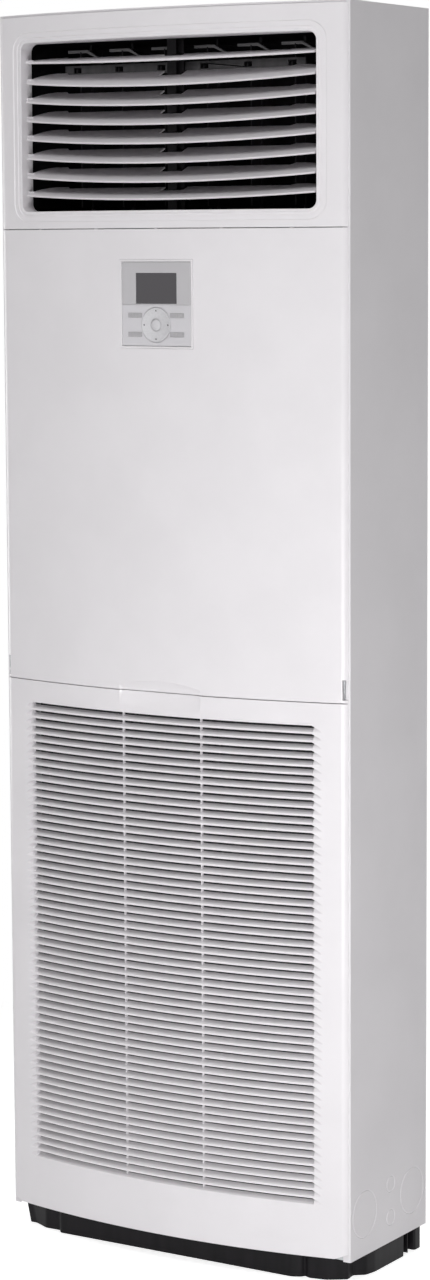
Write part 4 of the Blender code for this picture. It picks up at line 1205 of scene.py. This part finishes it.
def arc(centre, radius, start, stop, steps=5):
    turns = [math.radians(start + (stop - start) * step / steps) for step in range(steps + 1)]
    return [(centre[0] + radius * math.cos(a), centre[1] + radius * math.sin(a)) for a in turns]


def groove_ring(y, z, radius, side):
    """A ring whose section is wide at the sheet's face and narrow at the groove's bottom."""
    wide, narrow = KNOCKOUT_WIDTH / 2, KNOCKOUT_WIDTH / 5
    out, deep = side * (HALF + KNOCKOUT_DEPTH), side * (HALF - KNOCKOUT_DEPTH)
    middle = radius - KNOCKOUT_WIDTH / 2
    section = [(2 * wide - narrow, out), (narrow, deep), (-narrow, deep), (narrow - 2 * wide, out)]
    return turned_ring("groove", [(middle + r, x) for r, x in section], (0, y, z), KNOCKOUT_STEPS, axis="X")


def side_sheet(name, side):
    fold = (HALF - FOLD_RADIUS, panel_low.y + FOLD_RADIUS)
    hem = (HALF - SHEET / 2, BACK - SHEET / 2)
    plan = [(HALF - FOLD_REACH, panel_low.y)] + arc(fold, FOLD_RADIUS, -90, 0)
    plan += arc(hem, SHEET / 2, 0, 180)
    plan += arc(fold, FOLD_RADIUS - SHEET, 0, -90) + [(HALF - FOLD_REACH, panel_low.y + SHEET)]
    outline = [(side * x, y) for x, y in plan]
    sheet = prism(name, outline, panel_low.z, panel_high.z, "Z", PAINT)
    for y, rise, radius in KNOCKOUTS:
        changed(sheet, groove_ring(y, panel_low.z + rise, radius, side))
    return finished(sheet)


for side_name, side_sign in (("right", 1), ("left", -1)):
    sheet = side_sheet(f"side_sheet_{side_name}", side_sign)
    dress(sheet, "cabinet", "sheet_white", f"side_panel_{side_name}")

# %% [markdown]
# ## Lid and back
#
# The lid lies on the covers' upper flange, inside the side sheets, and follows the curved
# front. The back is a plain sheet. Its screws sit in pressed dimples, so nothing sticks out
# towards the wall. One screw and one dimple are made, and the stacking tree repeats both.

# %% Lid
LID_SET_BACK = 3 * MM
LID_FIT = 0.3 * MM


def lid():
    curve = []
    for x, y, angle in plan_stations():
        point = (x - LID_SET_BACK * math.sin(angle), y + LID_SET_BACK * math.cos(angle))
        if point[1] < SPLIT:
            curve.append(point)
    inner = HALF - SHEET - LID_FIT
    flange = HALF - FOLD_REACH - LID_FIT
    end = CORNER_X + math.sqrt((CORNER_RADIUS - LID_SET_BACK) ** 2 - (CORNER_Y - SPLIT) ** 2)
    right = [
        (end, SPLIT), (flange, SPLIT), (flange, SPLIT + SHEET + 2 * LID_FIT),
        (inner, SPLIT + SHEET + 2 * LID_FIT), (inner, BACK),
    ]
    plan = curve + right + [(-x, y) for x, y in reversed(right)]
    sheet = prism("lid", plan, lid_low.z, lid_high.z, "Z", PAINT)
    return finished(rounded(sheet, 0.7 * MM, 3))


dress(lid(), "cabinet", "sheet_white", "top_plate")

# %% Back sheet and its screws
SCREW_ROWS = 8
SCREW_INSET = 14 * MM
SCREW_MARGIN = 60 * MM
rear_low, rear_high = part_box("rear_panel")
SCREW_FOOT = rear_low.z + SCREW_MARGIN
SCREW_PITCH = (rear_high.z - rear_low.z - 2 * SCREW_MARGIN) / (SCREW_ROWS - 1)


def columns_of(make, material):
    """One stack of a shape near each edge of the back."""
    stacks = []
    for x in (rear_low.x + SCREW_INSET, rear_high.x - SCREW_INSET):
        piece = make((x, BACK, SCREW_FOOT))
        stacks.append(stacked(piece, material, count=SCREW_ROWS, start=(0, 0, 0), step=(0, 0, SCREW_PITCH)))
    return stacks


def dimple(place):
    return turned("dimple", [(5 * MM, -1 * MM), (7 * MM, 0), (7 * MM, 3 * MM)], place, 32)


def pan_screw(place):
    profile = [(4.0, -1.1), (4.0, -0.7), (3.7, -0.4), (2.8, -0.2), (1.4, -0.1)]
    screw = turned("screw", [(r * MM, along * MM) for r, along in profile], place, 20, ZINC)
    for half_x, half_z in ((2.2 * MM, 0.4 * MM), (0.4 * MM, 2.2 * MM)):
        changed(screw, block(
            "recess", (place[0] - half_x, place[1] - 0.6 * MM, place[2] - half_z),
            (place[0] + half_x, place[1] + 1 * MM, place[2] + half_z)))
    return screw


def back_sheet():
    sheet = block("back_sheet", rear_low, rear_high, PAINT)
    for cutter in columns_of(dimple, PAINT):
        changed(sheet, cutter)
    return finished(rounded(sheet, 0.3 * MM, 1))


dress(back_sheet(), "cabinet", "sheet_white", "rear_panel")
dress(joined("back_screws", columns_of(pan_screw, ZINC)), "cabinet", "galvanised")

# %% [markdown]
# ## Plinth
#
# The black plinth carries the cabinet on a skirt and four feet that step back and curve
# round the corners. Its plan is eased at every corner, because moulded corners are round,
# and those curves give the soft upright bands of light that show on black plastic.

# %% Plinth
PLINTH_SIDE = plinth_high.x + 2 * MM
SKIRT = plinth_low.y
FOOT = SKIRT + 9 * MM
FOOT_WIDTH = 73 * MM
REAR_FOOT = BACK - 19.7 * MM
NOTCH_LONG, NOTCH_DEEP = 32 * MM, 16 * MM
TONGUE_HALF, TONGUE_SET_BACK = 1 * MM, 3 * MM  # the thin upright in each rear notch
LEFT_FOOT_FLARE = 8.5 * MM  # how far the left front foot widens from the floor to its top


def eased(points, radius, steps=5):
    """The outline with each corner replaced by a small curve, shorter where edges are short."""
    curved = []
    for before, corner, after in zip(points[-1:] + points[:-1], points, points[1:] + points[:1]):
        back, ahead = Vector(before) - Vector(corner), Vector(after) - Vector(corner)
        size = min(radius, 0.45 * back.length, 0.45 * ahead.length)
        curved += corner_curve(corner, back.normalized(), ahead.normalized(), size, steps)
    return curved


def plinth():
    side, start = PLINTH_SIDE, PLINTH_SIDE - FOOT_WIDTH
    right = [
        (start - 22 * MM, SKIRT), (start - 8 * MM, FOOT - 2 * MM), (start - 5 * MM, FOOT + 4 * MM),
        (start + 4 * MM, FOOT - 1 * MM), (start + 32 * MM, FOOT + 5 * MM), (side - 16 * MM, FOOT + 23 * MM),
        (side - 19 * MM, FOOT + 43 * MM), (side - 4 * MM, FOOT + 55 * MM), (side, FOOT + 75 * MM),
    ]
    left = [
        (-start, SKIRT), (-start - 7 * MM, FOOT + 1 * MM), (-start - 33 * MM, FOOT),
        (13 * MM - side, FOOT + 14 * MM), (-side, FOOT + 14 * MM),
    ]
    inner, tip = side - NOTCH_DEEP, side - TONGUE_SET_BACK
    middle = REAR_FOOT - NOTCH_LONG / 2
    rear = [
        (side, REAR_FOOT - NOTCH_LONG), (inner, REAR_FOOT - NOTCH_LONG), (inner, middle - TONGUE_HALF),
        (tip, middle - TONGUE_HALF), (tip, middle + TONGUE_HALF), (inner, middle + TONGUE_HALF),
        (inner, REAR_FOOT), (side, REAR_FOOT), (side, plinth_high.y),
    ]
    outline = eased(right + rear + [(-x, y) for x, y in reversed(rear)] + list(reversed(left)), 4 * MM)
    base = prism("plinth", outline, plinth_low.z, plinth_high.z, "Z", BLACK)
    for vertex in base.data.vertices:
        if vertex.co.z > plinth_low.z and vertex.co.x < 20 * MM - side and vertex.co.y < 0:
            vertex.co.x -= LEFT_FOOT_FLARE
    return finished(rounded(base, 0.8 * MM, 2, 50))


dress(plinth(), "cabinet", "black_plastic", "base_plinth")

# %% [markdown]
# ## Controller
#
# The wall controller is clipped into the cover: a darker surround with the screen, and a
# paler door with a round pad and four keys. What was printed on the keys is left off, and
# four plain triangles mark the pad's directions. Grooves 0.5 mm wide part the pieces.

# %% Controller housing
SURROUND = moulded_abs("moulded_abs_screen_surround", "#C1BFC2", "#BDBBBE", 0.45)
PARTING = screen_low.z - 1.9 * MM
PARTING_GAP = 0.5 * MM
SCREEN_MARGIN = 0.3 * MM
BASE_SET_BACK = 0.8 * MM  # from the door's face to the plate that carries it
TUCK = 1 * MM  # how far door and surround reach into that plate
WELL_GAP, WELL_DEPTH = 1.0 * MM, 1.2 * MM


def controller():
    base_front = control_low.y + BASE_SET_BACK
    base = block("controller_base", (control_low.x, base_front, control_low.z), control_high, CONTROL)
    top = block(
        "surround", (control_low.x, control_low.y, PARTING + PARTING_GAP / 2),
        (control_high.x, base_front + TUCK, control_high.z), SURROUND)
    changed(top, block(
        "window", (screen_low.x - SCREEN_MARGIN, -1, screen_low.z - SCREEN_MARGIN),
        (screen_high.x + SCREEN_MARGIN, 0, screen_high.z + SCREEN_MARGIN)))
    door = block(
        "door", control_low, (control_high.x, base_front + TUCK, PARTING - PARTING_GAP / 2), CONTROL)
    ring_low, ring_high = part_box("ring_pad")
    centre = (0, control_low.y, (ring_low.z + ring_high.z) / 2)
    wide = ring_high.x + WELL_GAP
    changed(door, turned("well", [(wide, -2 * MM), (wide, WELL_DEPTH)], centre, 72))
    pieces = [finished(rounded(piece, width, 3)) for piece, width in (
        (base, 0.8 * MM), (top, 0.5 * MM), (door, 0.5 * MM))]
    return joined("controller_housing", pieces)


dress(controller(), "cabinet", "cover_white", "controller_body")
screen = block("display", screen_low, screen_high, SCREEN)
dress(finished(rounded(screen, 0.25 * MM, 2)), "cabinet", "screen_dark", "controller_screen")

# %% Keys, pad and marks


def pad():
    low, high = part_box("ring_pad")
    centre = (0, high.y, (low.z + high.z) / 2)
    outer, hole, tall = high.x, 9.5 * MM, high.y - low.y
    bead, sunk = -tall - 0.25 * MM, 0.35 * MM - tall
    profile = [
        (outer, 0), (outer, sunk), (outer - 0.4 * MM, bead + 0.1 * MM), (outer - 0.9 * MM, bead),
        (outer - 1.5 * MM, bead + 0.15 * MM), (outer - 2.2 * MM, sunk),
        (hole + 0.5 * MM, sunk), (hole + 0.15 * MM, sunk + 0.1 * MM), (hole, sunk + 0.3 * MM), (hole, 0),
    ]
    return turned_ring("pad", profile, centre, 72, PAD), centre, low.y


def direction_marks(centre, face):
    """Four triangles that point away from the middle of the pad."""
    marks = []
    for quarter in range(4):
        a = math.pi / 2 * quarter
        ray, across = (math.cos(a), math.sin(a)), (-math.sin(a), math.cos(a))
        corners = [(22 * MM, 0), (19.6 * MM, 1.5 * MM), (19.6 * MM, -1.5 * MM)]
        outline = [(r * ray[0] + s * across[0], centre[2] + r * ray[1] + s * across[1]) for r, s in corners]
        marks.append(prism("mark", outline, face - 0.02 * MM, face + 0.5 * MM, "Y", MARK))
    return marks


ring, pad_centre, pad_face = pad()
dress(ring, "cabinet", "key_grey", "ring_pad")
dress(joined("pad_marks", direction_marks(pad_centre, pad_face)), "cabinet", "key_grey")
key_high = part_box("centre_key")[1]
profile = [(key_high.x, 0), (key_high.x, -0.5 * MM), (key_high.x - 0.5 * MM, -0.8 * MM)]
button = turned("centre_button", profile, (0, key_high.y, pad_centre[2]), 48, PAD)
dress(button, "cabinet", "key_grey", "centre_key")
for row in ("upper", "lower"):
    for side in ("left", "right"):
        low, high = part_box(f"key_{row}_{side}")
        key = finished(rounded(block(f"soft_key_{row}_{side}", low, high, KEY), 0.35 * MM, 3))
        dress(key, "cabinet", "key_grey", f"key_{row}_{side}")

# %% [markdown]
# ## Floor
#
# The floor is stage, not part of the machine. In the photograph it is almost white and its
# shadow hardly shows. So the camera sees its lit surface with much light of its own added,
# and a little way off it fades to plain white, which hides where the floor ends.

# %% Floor
FLOOR_HALF = 9.0
FLOOR_GLOW = 0.74
FADE_START, FADE_END = 0.35, 1.6


def seen_directly(tree):
    """1 for rays that show the backdrop itself: camera, glossy and transmission rays."""
    path = add(tree, "ShaderNodeLightPath")
    first = add(tree, "ShaderNodeMath", {
        0: path.outputs["Is Camera Ray"], 1: path.outputs["Is Glossy Ray"],
    }, operation="MAXIMUM")
    return add(tree, "ShaderNodeMath", {
        0: first.outputs[0], 1: path.outputs["Is Transmission Ray"],
    }, operation="MAXIMUM").outputs[0]


def floor_material():
    made = bpy.data.materials.new("studio_floor_matt_white")
    tree = empty_tree(made)
    seen = seen_directly(tree)
    place = add(tree, "ShaderNodeTexCoord").outputs["Object"]
    reach = add(tree, "ShaderNodeVectorMath", {0: place}, operation="LENGTH").outputs["Value"]
    fade = add(tree, "ShaderNodeMapRange", {
        "Value": reach, "From Min": FADE_START, "From Max": FADE_END,
    }, interpolation_type="SMOOTHSTEP").outputs["Result"]
    glow = add(tree, "ShaderNodeMath", {0: seen, 1: FLOOR_GLOW}, operation="MULTIPLY").outputs[0]
    matt = add(tree, "ShaderNodeBsdfDiffuse", {"Color": colour("#E6E6E6")}).outputs[0]
    own = add(tree, "ShaderNodeEmission", {"Strength": glow}).outputs[0]
    near = add(tree, "ShaderNodeAddShader", {0: matt, 1: own}).outputs[0]
    far = add(tree, "ShaderNodeEmission", {"Strength": 1.0}).outputs[0]
    both = add(tree, "ShaderNodeMath", {0: fade, 1: seen}, operation="MULTIPLY").outputs[0]
    surface = add(tree, "ShaderNodeMixShader", {0: both, 1: near, 2: far}).outputs[0]
    add(tree, "ShaderNodeOutputMaterial", {"Surface": surface})
    return made


def floor():
    shape = bmesh.new()
    corners = [(-1, -1), (1, -1), (1, 1), (-1, 1)]
    shape.faces.new([shape.verts.new((x * FLOOR_HALF, y * FLOOR_HALF, 0)) for x, y in corners])
    return as_piece("floor", shape, floor_material())


floor()
print("floor", 2 * FLOOR_HALF, "m wide")

# %% [markdown]
# ## Light
#
# In the photograph the front is brightest near its right corner and halfway up, and each
# louvre shades the one below it. A broad lamp high in front gives the shade, and a small
# low one on the right gives the bright middle. Their powers come from rendering each lamp
# alone and weighing the results against the tones wanted. Three more lamps light the right
# side, the left side and the back. The world is plain white where a ray sees it directly,
# and gives only a little fill light otherwise.

# %% Lamps and world


def area_lamp(name, place, aim, size, power):
    light = bpy.data.lights.new(name, "AREA")
    light.shape = "RECTANGLE"
    light.size, light.size_y = size
    light.energy = power
    lamp = bpy.data.objects.new(name, light)
    lamp.location = place
    lamp.rotation_euler = (Vector(aim) - Vector(place)).to_track_quat("-Z", "Y").to_euler()
    lamp.visible_camera = False
    scene.collection.objects.link(lamp)


def on_circle(degrees, distance, height):
    turn = math.radians(degrees)
    return (distance * math.sin(turn), -distance * math.cos(turn), height)


LAMPS = [  # name, place, aim, size and power in watts
    ("high_lamp", (0.8, -2.4, 4.2), (0, 0, 1.0), (2.2, 1.6), 62),
    ("low_lamp", on_circle(30, 2.2, 0.5), (0, 0, 0.5), (0.8, 0.8), 24),
    ("right_lamp", on_circle(105, 3.0, 0.9), (0, 0, 0.9), (1.2, 1.6), 6),
    ("left_lamp", on_circle(262, 3.2, 1.0), (0, 0, 0.9), (1.2, 1.6), 26),
    ("back_lamp", on_circle(190, 3.2, 1.2), (0, 0, 0.9), (1.6, 1.6), 48),
]
for lamp in LAMPS:
    area_lamp(*lamp)
FILL = 0.15


def studio_world():
    world = bpy.data.worlds.new("studio")
    tree = empty_tree(world)
    strength = add(tree, "ShaderNodeMapRange", {"Value": seen_directly(tree), "To Min": FILL, "To Max": 1.0})
    light = add(tree, "ShaderNodeBackground", {
        "Color": colour("#FFFFFF"), "Strength": strength.outputs["Result"],
    })
    add(tree, "ShaderNodeOutputWorld", {"Surface": light.outputs[0]})
    return world


scene.world = studio_world()
